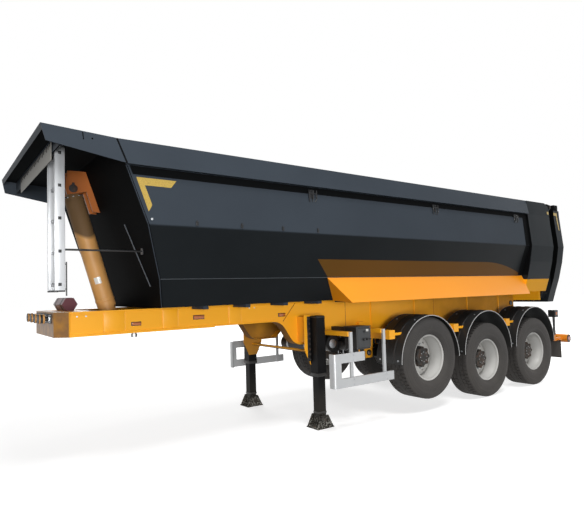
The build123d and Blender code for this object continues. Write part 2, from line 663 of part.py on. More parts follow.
with BuildPart() as arm_row:
    for x, z in AXLES.values():
        seat = spring_seat_z(z)
        with BuildSketch(Plane.XZ.offset(BEAM_MIDDLE_Y - ARM_WIDTH / 2)):
            with BuildLine():
                Polyline(
                    (x - ARM_PIVOT_OFFSET - ARM_PIVOT_HALF, ARM_PIVOT_Z + ARM_DEPTH / 2),
                    (x - ARM_PIVOT_OFFSET + ARM_PIVOT_HALF, ARM_PIVOT_Z + ARM_DEPTH / 2),
                    (x, z + AXLE_TUBE_RADIUS + ARM_DEPTH),
                    (x + ARM_SPRING_OFFSET - SPRING_RADIUS, seat),
                    (x + ARM_SPRING_OFFSET + SPRING_RADIUS, seat),
                    (x + ARM_SPRING_OFFSET + SPRING_RADIUS, seat - ARM_DEPTH / 2),
                    (x + AXLE_TUBE_RADIUS, z - AXLE_TUBE_RADIUS / 2),
                    (x - AXLE_TUBE_RADIUS, z - AXLE_TUBE_RADIUS / 2),
                    (x - ARM_PIVOT_OFFSET - ARM_PIVOT_HALF, ARM_PIVOT_Z - ARM_DEPTH / 2),
                    close=True,
                )
            make_face()
            with Locations((x, z)):
                Circle(AXLE_TUBE_RADIUS + REST_GAP, mode=Mode.SUBTRACT)
        extrude(amount=ARM_WIDTH)
trailing_arms = both_sides(arm_row)
save(trailing_arms, "trailing_arms")

with BuildPart() as spring_row:
    for x, z in AXLES.values():
        seat = spring_seat_z(z) + REST_GAP
        with BuildSketch(Plane.XY.offset(seat)):
            with Locations((x + ARM_SPRING_OFFSET, -BEAM_MIDDLE_Y)):
                Circle(SPRING_RADIUS)
        extrude(amount=REAR_BOTTOM_Z - REST_GAP - seat)
air_springs = both_sides(spring_row)
save(air_springs, "air_springs")


# ================================================================ wheels
def wheel_plane(name, side):
    """Plane through a wheel's axis: local x runs outwards along it, local y is the radius."""
    x, z = AXLES[name]
    return Plane(origin=(x, side * WHEEL_CENTRE_Y, z), x_dir=(0, side, 0), z_dir=(side, 0, 0))


def tyre(name, side):
    """Wide single tyre: beads as wide as the rim, bulging walls, rounded shoulders."""
    plane = wheel_plane(name, side)
    with BuildPart() as ring:
        with BuildSketch(plane):
            with BuildLine():
                half = Polyline(
                    (0, RIM_SEAT_RADIUS + REST_GAP),
                    (RIM_WIDTH / 2, RIM_SEAT_RADIUS + REST_GAP),
                    (TYRE_WIDTH / 2, TYRE_WALL_RADIUS),
                    (TYRE_WIDTH / 2 - TYRE_SHOULDER_INSET, TYRE_RADIUS),
                    (0, TYRE_RADIUS),
                )
                mirror(half, about=Plane.YZ)
            make_face()
        revolve(axis=Axis(plane.origin, (0, 1, 0)))
        widest = ring.edges().filter_by(GeomType.CIRCLE).filter_by(
            lambda edge: edge.radius > RIM_SEAT_RADIUS + RIM_WALL
        )
        fillet(widest, radius=TYRE_SHOULDER_ROUND)
    return ring


def wheel(name, side):
    """Deep-dish steel wheel with its disc near the inner side, hub and brake drum."""
    x, z = AXLES[name]
    inner_edge = WHEEL_CENTRE_Y - RIM_WIDTH / 2
    disc_y = inner_edge + WHEEL_DISC_INSET
    with BuildPart() as disc:
        with BuildSketch(Plane.XZ.offset(inner_edge)):
            with Locations((x, z)):
                Circle(RIM_SEAT_RADIUS)
                Circle(RIM_SEAT_RADIUS - RIM_WALL, mode=Mode.SUBTRACT)
        extrude(amount=RIM_WIDTH)
        with BuildSketch(Plane.XZ.offset(disc_y)):
            with Locations((x, z)):
                Circle(RIM_SEAT_RADIUS - RIM_WALL / 2)
                Circle(SPINDLE_RADIUS + MOVING_GAP, mode=Mode.SUBTRACT)
        extrude(amount=WHEEL_DISC_THICKNESS)
        with BuildSketch(Plane.XZ.offset(disc_y)):
            with Locations((x, z)):
                Circle(HUB_RADIUS)
                Circle(SPINDLE_RADIUS + RUNNING_GAP, mode=Mode.SUBTRACT)
        extrude(amount=WHEEL_CENTRE_Y + HUB_REACH - disc_y)
        with BuildSketch(Plane.XZ.offset(WHEEL_CENTRE_Y + HUB_REACH)):
            with Locations((x, z)):
                Circle(HUB_RADIUS)
        extrude(amount=HUB_CAP)
        with BuildSketch(Plane.XZ.offset(DRUM_INNER_Y)):
            with Locations((x, z)):
                Circle(DRUM_RADIUS)
                Circle(SPINDLE_RADIUS + MOVING_GAP, mode=Mode.SUBTRACT)
        extrude(amount=disc_y - DRUM_INNER_Y)
    return disc if side < 0 else mirrored(disc)


for axle_name in AXLES:
    for side_name, side in SIDES.items():
        save(tyre(axle_name, side), f"tyre_{axle_name}_{side_name}")
        save(wheel(axle_name, side), f"wheel_{axle_name}_{side_name}")


# ================================================================ mudguards and their carriers
with BuildPart() as mudguards_left:
    for x, _ in AXLES.values():
        with BuildSketch(Plane.XZ.offset(MUDGUARD_INNER_Y)):
            with Locations((x, MUDGUARD_Z)):
                Circle(MUDGUARD_OUTER_RADIUS)
                Circle(MUDGUARD_RADIUS, mode=Mode.SUBTRACT)
                Rectangle(
                    3 * MUDGUARD_RADIUS,
                    2 * MUDGUARD_RADIUS,
                    align=(Align.CENTER, Align.MAX),
                    mode=Mode.SUBTRACT,
                )
        extrude(amount=MUDGUARD_OUTER_Y - MUDGUARD_INNER_Y)
save(mudguards_left, "mudguards_left")
save(mirrored(mudguards_left), "mudguards_right")

# ================================================================ side guards
with BuildPart() as side_guard_left:
    with BuildSketch(Plane.XZ.offset(GUARD_INNER_Y)):
        with Locations((GUARD_FRONT_X, GUARD_TOP_RAIL_Z)):
            Rectangle(
                GUARD_TOP_RAIL_REAR_X - GUARD_FRONT_X, GUARD_RAIL_HEIGHT, align=(Align.MIN, Align.MIN)
            )
        with Locations((GUARD_FRONT_X, GUARD_BOTTOM_RAIL_Z)):
            Rectangle(
                GUARD_BOTTOM_RAIL_REAR_X - GUARD_FRONT_X, GUARD_RAIL_HEIGHT, align=(Align.MIN, Align.MIN)
            )
            Rectangle(
                GUARD_RAIL_HEIGHT, GUARD_TOP_Z - GUARD_BOTTOM_RAIL_Z, align=(Align.MIN, Align.MIN)
            )
    extrude(amount=GUARD_PROFILE)
    with BuildSketch(Plane.XZ.offset(GUARD_INNER_Y - GUARD_CORNER)):
        with Locations((GUARD_FRONT_X, GUARD_BOTTOM_RAIL_Z)):
            Rectangle(GUARD_PROFILE, GUARD_TOP_Z - GUARD_BOTTOM_RAIL_Z, align=(Align.MIN, Align.MIN))
    extrude(amount=GUARD_CORNER)
    corner = side_guard_left.edges().filter_by(Axis.Z).group_by(Axis.X)[0].sort_by(Axis.Y)[0]
    fillet(corner, radius=GUARD_PROFILE)
    for x in GUARD_POST_XS:
        with BuildSketch(Plane.XY.offset(GUARD_BOTTOM_RAIL_Z)):
            with Locations((x, -GUARD_INNER_Y + GUARD_POST_THICKNESS / 2)):
                Rectangle(GUARD_POST_WIDTH, GUARD_POST_THICKNESS)
        extrude(amount=GUARD_ARM_TOP_Z - GUARD_BOTTOM_RAIL_Z)
side_guards = both_sides(side_guard_left)
save(side_guards, "side_guards")

# ================================================================ outriggers from the beams
with BuildPart() as outrigger_row:
    for x in CARRIER_XS:
        with BuildSketch(Plane.XZ.offset(BEAM_OUTER_Y)):
            with Locations((x, CARRIER_Z)):
                Rectangle(CARRIER_WIDTH, CARRIER_HEIGHT)
        extrude(amount=CARRIER_OUTER_Y - BEAM_OUTER_Y)
        with BuildSketch(Plane.XZ.offset(WEB_OUTER_Y)):
            with Locations((x, REAR_BOTTOM_Z + BEAM_FLANGE)):
                Rectangle(CARRIER_WIDTH, CARRIER_HEIGHT, align=(Align.CENTER, Align.MIN))
        extrude(amount=CARRIER_ROOT_Y - WEB_OUTER_Y)
        reach_forward = 0 if x == CARRIER_XS[0] else STAY_REACH
        for y in STAY_YS:
            with BuildSketch(Plane.XZ.offset(y - STAY_SIZE / 2)):
                with Locations((x - reach_forward, CARRIER_Z)):
                    Rectangle(
                        reach_forward + STAY_REACH, STAY_SIZE, align=(Align.MIN, Align.CENTER)
                    )
            extrude(amount=STAY_SIZE)
    for x, _ in AXLES.values():
        with BuildSketch(Plane.XZ.offset(MUDGUARD_INNER_Y)):
            with Locations((x, MUDGUARD_Z)):
                Circle(MUDGUARD_OUTER_RADIUS + REST_GAP)
        extrude(amount=MUDGUARD_OUTER_Y, mode=Mode.SUBTRACT)
    for x in GUARD_POST_XS:
        with BuildSketch(Plane.XZ.offset(WEB_OUTER_Y)):
            with Locations((x, GUARD_ARM_TOP_Z)):
                Rectangle(GUARD_ARM_WIDTH, GUARD_ARM_HEIGHT, align=(Align.CENTER, Align.MAX))
        extrude(amount=GUARD_INNER_Y - GUARD_POST_THICKNESS - REST_GAP - WEB_OUTER_Y)
outriggers = both_sides(outrigger_row)
save(outriggers, "outriggers")

# ================================================================ equipment on the chassis
with BuildPart() as air_tanks:
    for x in TANK_XS:
        with BuildSketch(Plane.XZ):
            with Locations((x, TANK_Z)):
                Circle(TANK_RADIUS)
        extrude(amount=TANK_LENGTH / 2, both=True)
        with BuildSketch(Plane.XY.offset(TANK_Z)):
            for y in (-TANK_HANGER_Y, TANK_HANGER_Y):
                with Locations((x, y)):
                    Rectangle(TANK_HANGER_WIDTH, TANK_HANGER_WIDTH / 2)
        extrude(amount=REAR_BOTTOM_Z - REST_GAP - TANK_HANGER_PLATE - TANK_Z)
        with BuildSketch(Plane.XY.offset(REAR_BOTTOM_Z - REST_GAP - TANK_HANGER_PLATE)):
            with Locations((x, 0)):
                Rectangle(TANK_HANGER_WIDTH, 2 * BEAM_MIDDLE_Y)
        extrude(amount=TANK_HANGER_PLATE)
save(air_tanks, "air_tanks")

with BuildPart() as valve_box:
    with BuildSketch(Plane.XY.offset(VALVE_BOX_BOTTOM_Z)):
        with Locations((VALVE_BOX_X, -(VALVE_BOX_INNER_Y + VALVE_BOX_OUTER_Y) / 2)):
            Rectangle(VALVE_BOX_LENGTH, VALVE_BOX_OUTER_Y - VALVE_BOX_INNER_Y)
    extrude(amount=VALVE_BOX_HEIGHT)
    fillet(valve_box.edges().filter_by(Axis.Z), radius=VALVE_BOX_CORNER)
    with BuildSketch(Plane.XZ.offset(WEB_OUTER_Y)):
        with Locations((VALVE_BOX_X, VALVE_ARM_TOP_Z)):
            Rectangle(VALVE_ARM_WIDTH, VALVE_ARM_HEIGHT, align=(Align.CENTER, Align.MAX))
    extrude(amount=VALVE_BOX_INNER_Y - WEB_OUTER_Y)
save(valve_box, "valve_box")

with BuildPart() as tool_box:
    with BuildSketch(Plane.XZ.offset(-TOOL_BOX_Y - TOOL_BOX_LENGTH / 2)):
        with Locations((TOOL_BOX_X, BEAM_TOP_Z + TOOL_BOX_ACROSS / 2)):
            RegularPolygon(TOOL_BOX_ACROSS / 2, 6, major_radius=False)
    extrude(amount=TOOL_BOX_LENGTH)
save(tool_box, "tool_box")

with BuildPart() as supply_couplings:
    with BuildSketch(Plane.YZ.offset(NOSE_FRONT_X - REST_GAP)):
        with Locations((0, COUPLING_Z)):
            Rectangle(COUPLING_BOARD_LENGTH, COUPLING_BOARD_HEIGHT)
    extrude(amount=-COUPLING_BOARD)
    coupling_root_x = NOSE_FRONT_X - REST_GAP - COUPLING_BOARD
    with BuildSketch(Plane.YZ.offset(coupling_root_x)):
        for y in COUPLING_YS:
            with Locations((y, COUPLING_Z)):
                Circle(COUPLING_NECK_RADIUS)
    extrude(amount=-COUPLING_NECK_LENGTH)
    with BuildSketch(Plane.YZ.offset(coupling_root_x - COUPLING_NECK_LENGTH)):
        for y in COUPLING_YS:
            with Locations((y, COUPLING_Z)):
                Circle(COUPLING_RADIUS)
    extrude(amount=-COUPLING_HEAD_LENGTH)
save(supply_couplings, "supply_couplings")

# ================================================================ tipping body: section
TOP_SLOPE = (UPPER_BEND_HALF - PANEL_TOP_HALF) / (RAIL_TOP_Z - UPPER_BEND_Z)
OPEN_TOP = 100          # the section runs on past the rail so that it can be cut off open


def panel_half_at(z):
    """Half width of the outer skin at a height above the upper bend."""
    return UPPER_BEND_HALF - TOP_SLOPE * (z - UPPER_BEND_Z)


def body_section(grow):
    """Cross-section of the tub's outer skin, grown outwards by a margin, past the rail top."""
    with BuildSketch() as section:
        with BuildLine():
            side = Polyline(
                (0, FLOOR_Z),
                (FLOOR_HALF, FLOOR_Z),
                (LOWER_BEND_HALF, LOWER_BEND_Z),
                (MIDDLE_BEND_HALF, MIDDLE_BEND_Z),
                (UPPER_BEND_HALF, UPPER_BEND_Z),
                (panel_half_at(RAIL_TOP_Z + OPEN_TOP), RAIL_TOP_Z + OPEN_TOP),
                (0, RAIL_TOP_Z + OPEN_TOP),
            )
            mirror(side, about=Plane.YZ)
        make_face()
        if grow:
            offset(amount=grow, kind=Kind.INTERSECTION)
    return section.sketch


SKIN_OUTER = body_section(0)
SKIN_INNER = body_section(-WALL)

with BuildSketch() as shell_sketch:
    add(SKIN_OUTER)
    add(SKIN_INNER, mode=Mode.SUBTRACT)
    with Locations((0, RAIL_TOP_Z)):
        Rectangle(
            2 * OVERALL_WIDTH, RAIL_TOP_Z, align=(Align.CENTER, Align.MAX), mode=Mode.INTERSECT
        )
BODY_FRONT_REACH = front_x(RAIL_TOP_Z + OPEN_TOP)

with BuildPart() as tub_floor:
    with BuildSketch(Plane.YZ.offset(BODY_FRONT_REACH)):
        add(shell_sketch.sketch)
        with Locations((0, FLOOR_Z)):
            Rectangle(2 * FLOOR_SEAM_Y, 4 * WALL, mode=Mode.INTERSECT)
    extrude(amount=BODY_REAR_X - BODY_FRONT_REACH)
    split(bisect_by=front_plane(WALL), keep=Keep.BOTTOM)
save(tub_floor, "tub_floor")

with BuildPart() as tub_side_left:
    with BuildSketch(Plane.YZ.offset(BODY_FRONT_REACH)):
        add(shell_sketch.sketch)
        with Locations((-FLOOR_SEAM_Y, FLOOR_Z - WALL)):
            Rectangle(
                OVERALL_WIDTH, RAIL_TOP_Z, align=(Align.MAX, Align.MIN), mode=Mode.INTERSECT
            )
    extrude(amount=BODY_REAR_X - BODY_FRONT_REACH)
    split(bisect_by=front_plane(WALL), keep=Keep.BOTTOM)
save(tub_side_left, "tub_side_left")
save(mirrored(tub_side_left), "tub_side_right")

with BuildPart() as front_wall:
    with BuildSketch(Plane.YZ.offset(BODY_FRONT_REACH)):
        add(SKIN_OUTER)
        with Locations((0, RAIL_TOP_Z)):
            Rectangle(
                2 * OVERALL_WIDTH, RAIL_TOP_Z, align=(Align.CENTER, Align.MAX), mode=Mode.INTERSECT
            )
    extrude(amount=FRONT_FOOT_X - BODY_FRONT_REACH + 8 * WALL)
    split(bisect_by=front_plane(), keep=Keep.BOTTOM)
    split(bisect_by=front_plane(WALL), keep=Keep.TOP)
save(front_wall, "front_wall")

# ================================================================ top rails
with BuildPart() as top_rail_left:
    with BuildSketch(Plane.YZ.offset(BODY_FRONT_REACH)):
        with BuildLine():
            Polyline(
                (-RAIL_TOP_HALF, RAIL_TOP_Z),
                (-RAIL_BOTTOM_HALF, RAIL_BOTTOM_Z),
                (-panel_half_at(RAIL_BOTTOM_Z), RAIL_BOTTOM_Z),
                (-panel_half_at(RAIL_TOP_Z), RAIL_TOP_Z),
                close=True,
            )
        make_face()
    extrude(amount=REAR_FRAME_FRONT_X - BODY_FRONT_REACH)
    split(bisect_by=front_plane(), keep=Keep.BOTTOM)
top_rails = both_sides(top_rail_left)
save(top_rails, "top_rails")

# ================================================================ rear frame
FRAME_OUTLINE = (
    (half_at(60), RAIL_TOP_Z),
    (half_at(50), RAIL_BOTTOM_Z),
    (half_at(0), UPPER_BEND_Z),
    (half_at(40), FLOOR_Z + 488),
    (half_at(109), FLOOR_Z + 206),
    (half_at(173), FLOOR_Z + 10),
    (half_at(235), GATE_BOTTOM_Z),
)


def frame_section(shrink, bottom_z, top_z):
    """Outline of the rear frame and tailgate between two heights, drawn in by a margin."""
    with BuildSketch() as section:
        with BuildLine():
            side = Polyline(
                (0, FRAME_OUTLINE[0][1]),
                *FRAME_OUTLINE,
                (0, FRAME_OUTLINE[-1][1]),
            )
            mirror(side, about=Plane.YZ)
        make_face()
        if shrink:
            offset(amount=-shrink, kind=Kind.INTERSECTION)
        with Locations((0, (bottom_z + top_z) / 2)):
            Rectangle(2 * OVERALL_WIDTH, top_z - bottom_z, mode=Mode.INTERSECT)
    return section.sketch


with BuildPart() as rear_frame:
    with BuildSketch(Plane.YZ.offset(REAR_FRAME_FRONT_X)):
        add(frame_section(0, FLOOR_Z, RAIL_TOP_Z))
        add(SKIN_OUTER, mode=Mode.SUBTRACT)
    extrude(amount=BODY_REAR_X - REAR_FRAME_FRONT_X)
    with BuildSketch(Plane.XZ):
        with BuildLine():
            Polyline(
                (BODY_REAR_X + 1, RAIL_TOP_Z + 1),
                (BODY_REAR_X - 2 * REAR_FRAME_CHAMFER, RAIL_TOP_Z + 1),
                (BODY_REAR_X + 1, RAIL_TOP_Z - REAR_FRAME_CHAMFER),
                close=True,
            )
        make_face()
    extrude(amount=OVERALL_WIDTH, both=True, mode=Mode.SUBTRACT)
    with BuildSketch(Plane.XZ):
        with Locations((BODY_REAR_X, FLOOR_Z - REST_GAP)):
            Rectangle(SILL_LENGTH, SILL_HEIGHT, align=(Align.MAX, Align.MAX))
    extrude(amount=SILL_HALF_WIDTH, both=True)
save(rear_frame, "rear_frame")

# ================================================================ side skirts
with BuildPart() as side_skirt_left:
    with BuildSketch(Plane.YZ.offset(SKIRT_TOP_FRONT_X)):
        with BuildLine():
            Polyline(
                (-LOWER_BEND_HALF, LOWER_BEND_Z),
                (-SKIRT_FOOT_HALF, SKIRT_FOOT_Z),
                (-SKIRT_FOOT_HALF + 2 * SKIRT_SHEET, SKIRT_FOOT_Z),
                (-LOWER_BEND_HALF, LOWER_BEND_Z - 3 * SKIRT_SHEET),
                close=True,
            )
        make_face()
    extrude(amount=REAR_FRAME_FRONT_X - SKIRT_TOP_FRONT_X)
    with BuildSketch(Plane.XZ):
        with BuildLine():
            Polyline(
                (SKIRT_TOP_FRONT_X - 1, LOWER_BEND_Z + 1),
                (SKIRT_TOP_FRONT_X, LOWER_BEND_Z + 1),
                (SKIRT_FOOT_FRONT_X, SKIRT_FOOT_Z - 1),
                (SKIRT_TOP_FRONT_X - 1, SKIRT_FOOT_Z - 1),
                close=True,
            )
        make_face()
    extrude(amount=OVERALL_WIDTH, both=True, mode=Mode.SUBTRACT)
    closure = Plane(
        origin=(SKIRT_FOOT_FRONT_X, 0, SKIRT_FOOT_Z),
        x_dir=(0, 1, 0),
        z_dir=Vector(LOWER_BEND_Z - SKIRT_FOOT_Z, 0, SKIRT_FOOT_FRONT_X - SKIRT_TOP_FRONT_X),
    )
    with BuildSketch(closure):
        with BuildLine():
            slant = hypot(LOWER_BEND_Z - SKIRT_FOOT_Z, SKIRT_FOOT_FRONT_X - SKIRT_TOP_FRONT_X)
            floor_share = (FLOOR_Z - SKIRT_FOOT_Z) / (LOWER_BEND_Z - SKIRT_FOOT_Z)
            sign = 1 if closure.y_dir.Z > 0 else -1
            Polyline(
                (-LOWER_BEND_HALF, sign * slant),
                (-SKIRT_FOOT_HALF, 0),
                (-FLOOR_HALF, sign * slant * floor_share),
                close=True,
            )
        make_face()
    extrude(amount=-SKIRT_SHEET)
side_skirts = both_sides(side_skirt_left)
save(side_skirts, "side_skirts")

# ================================================================ canopy
CANOPY_OVERSHOOT = 400  # the inner shape runs on past the edges it opens
CANOPY_SLOPE = (CANOPY_FRONT_TOP_Z - RAIL_TOP_Z) / (front_x(RAIL_TOP_Z) - CANOPY_FRONT_X)


def canopy_side_view(inset):
    """Side view of the canopy, drawn in by the sheet thickness when it is the inside."""
    rear_top = RAIL_TOP_Z - inset
    below = CANOPY_OVERSHOOT if inset else 0
    with BuildSketch() as view:
        with BuildLine():
            Polyline(
                (front_x(rear_top) + below, rear_top - CANOPY_SLOPE * below),
                (CANOPY_FRONT_X + inset, CANOPY_FRONT_TOP_Z - inset),
                (CANOPY_FRONT_X + CANOPY_LIP_RAKE + inset, CANOPY_FRONT_BOTTOM_Z - below),
                (front_x(RAIL_BOTTOM_Z) + below, RAIL_BOTTOM_Z - below),
                close=True,
            )
        make_face()
    return view.sketch


def canopy_end_view(inset):
    """End view of the canopy: the slant of the rails carried on forward."""
    slope = (RAIL_BOTTOM_HALF - RAIL_TOP_HALF) / (RAIL_TOP_Z - RAIL_BOTTOM_Z)
    low = RAIL_BOTTOM_Z - (2 * CANOPY_OVERSHOOT if inset else 0)
    high = CANOPY_FRONT_TOP_Z + CANOPY_OVERSHOOT
    with BuildSketch() as view:
        with BuildLine():
            side = Polyline(
                (0, low),
                (RAIL_TOP_HALF + slope * (RAIL_TOP_Z - low) - inset, low),
                (RAIL_TOP_HALF + slope * (RAIL_TOP_Z - high) - inset, high),
                (0, high),
            )
            mirror(side, about=Plane.YZ)
        make_face()
    return view.sketch


def canopy_block(inset):
    """The canopy's outer or inner shape as one solid."""
    with BuildPart() as block:
        with BuildSketch(Plane.YZ.offset(CANOPY_FRONT_X)):
            add(canopy_end_view(inset))
        extrude(amount=FRONT_FOOT_X - CANOPY_FRONT_X)
        with BuildSketch(Plane.XZ):
            add(canopy_side_view(inset))
        extrude(amount=OVERALL_WIDTH, both=True, mode=Mode.INTERSECT)
    return block


with BuildPart() as canopy:
    add(canopy_block(0).part)
    add(canopy_block(CANOPY_SHEET).part, mode=Mode.SUBTRACT)
    split(bisect_by=front_plane(), keep=Keep.TOP)
save(canopy, "canopy")

# ================================================================ cylinder head bracket
EAR_OUTLINE = (
    (front_x(RAIL_TOP_Z - 60), RAIL_TOP_Z - 60),
    (HEAD_PIN_X - 50, RAIL_TOP_Z - 65),
    (HEAD_PIN_X - 75, HEAD_PIN_Z + 10),
    (HEAD_PIN_X - 55, HEAD_PIN_Z - 65),
    (HEAD_PIN_X + 134, HEAD_PIN_Z - 19),
    (HEAD_PIN_X + 199, HEAD_PIN_Z - 229),
    (front_x(HEAD_PIN_Z - 229), HEAD_PIN_Z - 229),
)

with BuildPart() as head_ear:
    with BuildSketch(Plane.XZ.offset(HEAD_EAR_INNER_Y)):
        with BuildLine():
            Polyline(*EAR_OUTLINE, close=True)
        make_face()
    extrude(amount=HEAD_EAR_THICKNESS)
    with BuildSketch(Plane.XZ.offset(HEAD_EAR_INNER_Y)):
        with Locations((HEAD_PIN_X, HEAD_PIN_Z)):
            Circle(HEAD_BUSH_RADIUS)
    extrude(amount=HEAD_EAR_THICKNESS * 2)
cylinder_head_bracket = both_sides(head_ear)
save(cylinder_head_bracket, "cylinder_head_bracket")

# ================================================================ tipping ears under the floor
with BuildPart() as pivot_ear:
    with BuildSketch(Plane.XZ.offset(PIVOT_EAR_OUTER_Y - PIVOT_EAR_THICKNESS)):
        with Locations((PIVOT_X, PIVOT_Z)):
            Circle(PIVOT_EAR_RADIUS)
        with Locations((PIVOT_X, (PIVOT_Z + FLOOR_Z) / 2)):
            Rectangle(2 * PIVOT_EAR_RADIUS, FLOOR_Z - PIVOT_Z)
        with Locations((PIVOT_X, PIVOT_Z)):
            Circle(PIVOT_RADIUS + RUNNING_GAP, mode=Mode.SUBTRACT)
    extrude(amount=PIVOT_EAR_THICKNESS)
tipping_ears = both_sides(pivot_ear)
save(tipping_ears, "tipping_ears")

# ================================================================ ladder on the body's front


def canopy_underside_z(x):
    """Height of the underside of the canopy's top sheet."""
    return RAIL_TOP_Z - CANOPY_SHEET + CANOPY_SLOPE * (front_x(RAIL_TOP_Z - CANOPY_SHEET) - x)


LADDER_TOP_Z = canopy_underside_z(LADDER_REAR_X) - REST_GAP

with BuildPart() as ladder:
    for y in (LADDER_INNER_Y, LADDER_OUTER_Y):
        with BuildSketch(Plane.XZ.offset(y - LADDER_STILE_THICKNESS / 2)):
            with Locations((LADDER_FRONT_X, LADDER_BOTTOM_Z)):
                Rectangle(
                    LADDER_STILE_DEPTH,
                    LADDER_TOP_Z - LADDER_BOTTOM_Z,
                    align=(Align.MIN, Align.MIN),
                )
        extrude(amount=LADDER_STILE_THICKNESS)
    for rung in range(LADDER_RUNGS):
        with BuildSketch(Plane.XZ.offset(LADDER_INNER_Y)):
            rung_z = LADDER_BOTTOM_Z + LADDER_FIRST_RUNG + rung * LADDER_RUNG_PITCH
            with Locations((LADDER_FRONT_X + LADDER_STILE_DEPTH / 2, rung_z)):
                Circle(LADDER_RUNG_RADIUS)
        extrude(amount=LADDER_OUTER_Y - LADDER_INNER_Y)
    with BuildSketch(Plane.YZ.offset(LADDER_REAR_X)):
        with Locations((-LADDER_OUTER_Y, LADDER_STAY_Z)):
            Circle(LADDER_STAY_RADIUS)
    extrude(amount=front_x(LADDER_STAY_Z) - LADDER_REAR_X + 2 * LADDER_STAY_RADIUS)
    split(bisect_by=front_plane(-REST_GAP), keep=Keep.TOP)
save(ladder, "ladder")

# ================================================================ tipping cylinder
CYLINDER_LENGTH = hypot(HEAD_PIN_X - TRUNNION_X, HEAD_PIN_Z - TRUNNION_Z)
CYLINDER_AXIS = Vector(HEAD_PIN_X - TRUNNION_X, 0, HEAD_PIN_Z - TRUNNION_Z).normalized()
CAP_END = CYLINDER_LENGTH - CAP_TO_EYE
BASE_END = CAP_END - CAP_TO_BASE


def across_cylinder(distance):
    """Plane square to the cylinder at a distance from the trunnion."""
    origin = Vector(TRUNNION_X, 0, TRUNNION_Z) + CYLINDER_AXIS * distance
    return Plane(origin=origin, x_dir=(0, 1, 0), z_dir=CYLINDER_AXIS)


with BuildPart() as cylinder_base:
    with BuildSketch(across_cylinder(BASE_START)):
        Circle(BASE_RADIUS)
    extrude(amount=BASE_END - BASE_START)
    with BuildSketch(across_cylinder(BASE_START + STAGE_FLOOR)):
        Circle(BASE_RADIUS - STAGE_WALL)
    extrude(amount=BASE_END - BASE_START, mode=Mode.SUBTRACT)
    with BuildSketch(Plane.XZ):
        with Locations((TRUNNION_X, TRUNNION_Z)):
            Circle(TRUNNION_BOSS_RADIUS)
    extrude(amount=TRUNNION_BOSS_HALF, both=True)
    with BuildSketch(across_cylinder(BASE_START + STAGE_FLOOR)):
        Circle(BASE_RADIUS - STAGE_WALL)
    extrude(amount=BASE_END - BASE_START, mode=Mode.SUBTRACT)
    with BuildSketch(Plane.XZ):
        with Locations((TRUNNION_X, TRUNNION_Z)):
            Circle(TRUNNION_PIN_RADIUS)
    extrude(amount=TRUNNION_PLATE_INNER_Y + TRUNNION_PLATE + MOVING_GAP, both=True)
save(cylinder_base, "cylinder_base")

for stage in range(1, STAGE_COUNT + 1):
    outer = BASE_RADIUS - stage * STAGE_STEP
    start = BASE_START + STAGE_FLOOR + stage * STAGE_STAND_OFF + (stage - 1) * STAGE_FLOOR
    end = BASE_END + stage * STAGE_STAND_OFF
    with BuildPart() as cylinder_stage:
        with BuildSketch(across_cylinder(start)):
            Circle(outer)
        extrude(amount=end - start)
        with BuildSketch(across_cylinder(start + STAGE_FLOOR)):
            Circle(outer - STAGE_WALL)
        extrude(amount=end - start, mode=Mode.SUBTRACT)
    save(cylinder_stage, f"cylinder_stage_{stage}")

PLUNGER_RADIUS = BASE_RADIUS - (STAGE_COUNT + 1) * STAGE_STEP
PLUNGER_START = BASE_START + STAGE_FLOOR + (STAGE_COUNT + 1) * STAGE_STAND_OFF + STAGE_COUNT * STAGE_FLOOR

with BuildPart() as cylinder_cover:
    with BuildSketch(across_cylinder(COVER_START)):
        Circle(COVER_RADIUS)
    extrude(amount=CAP_END - COVER_START)
    with BuildSketch(across_cylinder(COVER_START)):
        Circle(COVER_RADIUS - COVER_WALL)
    extrude(amount=CAP_END - CAP_THICKNESS - COVER_START, mode=Mode.SUBTRACT)
    with BuildSketch(across_cylinder(PLUNGER_START)):
        Circle(PLUNGER_RADIUS)
    extrude(amount=CAP_END - PLUNGER_START)
    with BuildSketch(across_cylinder(CAP_END)):
        Rectangle(2 * HEAD_EYE_HALF, 2 * HEAD_EYE_RADIUS)
    extrude(amount=CYLINDER_LENGTH - CAP_END)
    with BuildSketch(Plane.XZ):
        with Locations((HEAD_PIN_X, HEAD_PIN_Z)):
            Circle(HEAD_EYE_RADIUS)
    extrude(amount=HEAD_EYE_HALF, both=True)
save(cylinder_cover, "cylinder_cover")

# ================================================================ tailgate
with BuildPart() as tailgate_panel:
    with BuildSketch(Plane.YZ.offset(GATE_FRONT_X)):
        add(frame_section(GATE_RECESS, GATE_BOTTOM_Z + GATE_RECESS, GATE_TOP_Z))
    extrude(amount=GATE_SKIN)
save(tailgate_panel, "tailgate_panel")

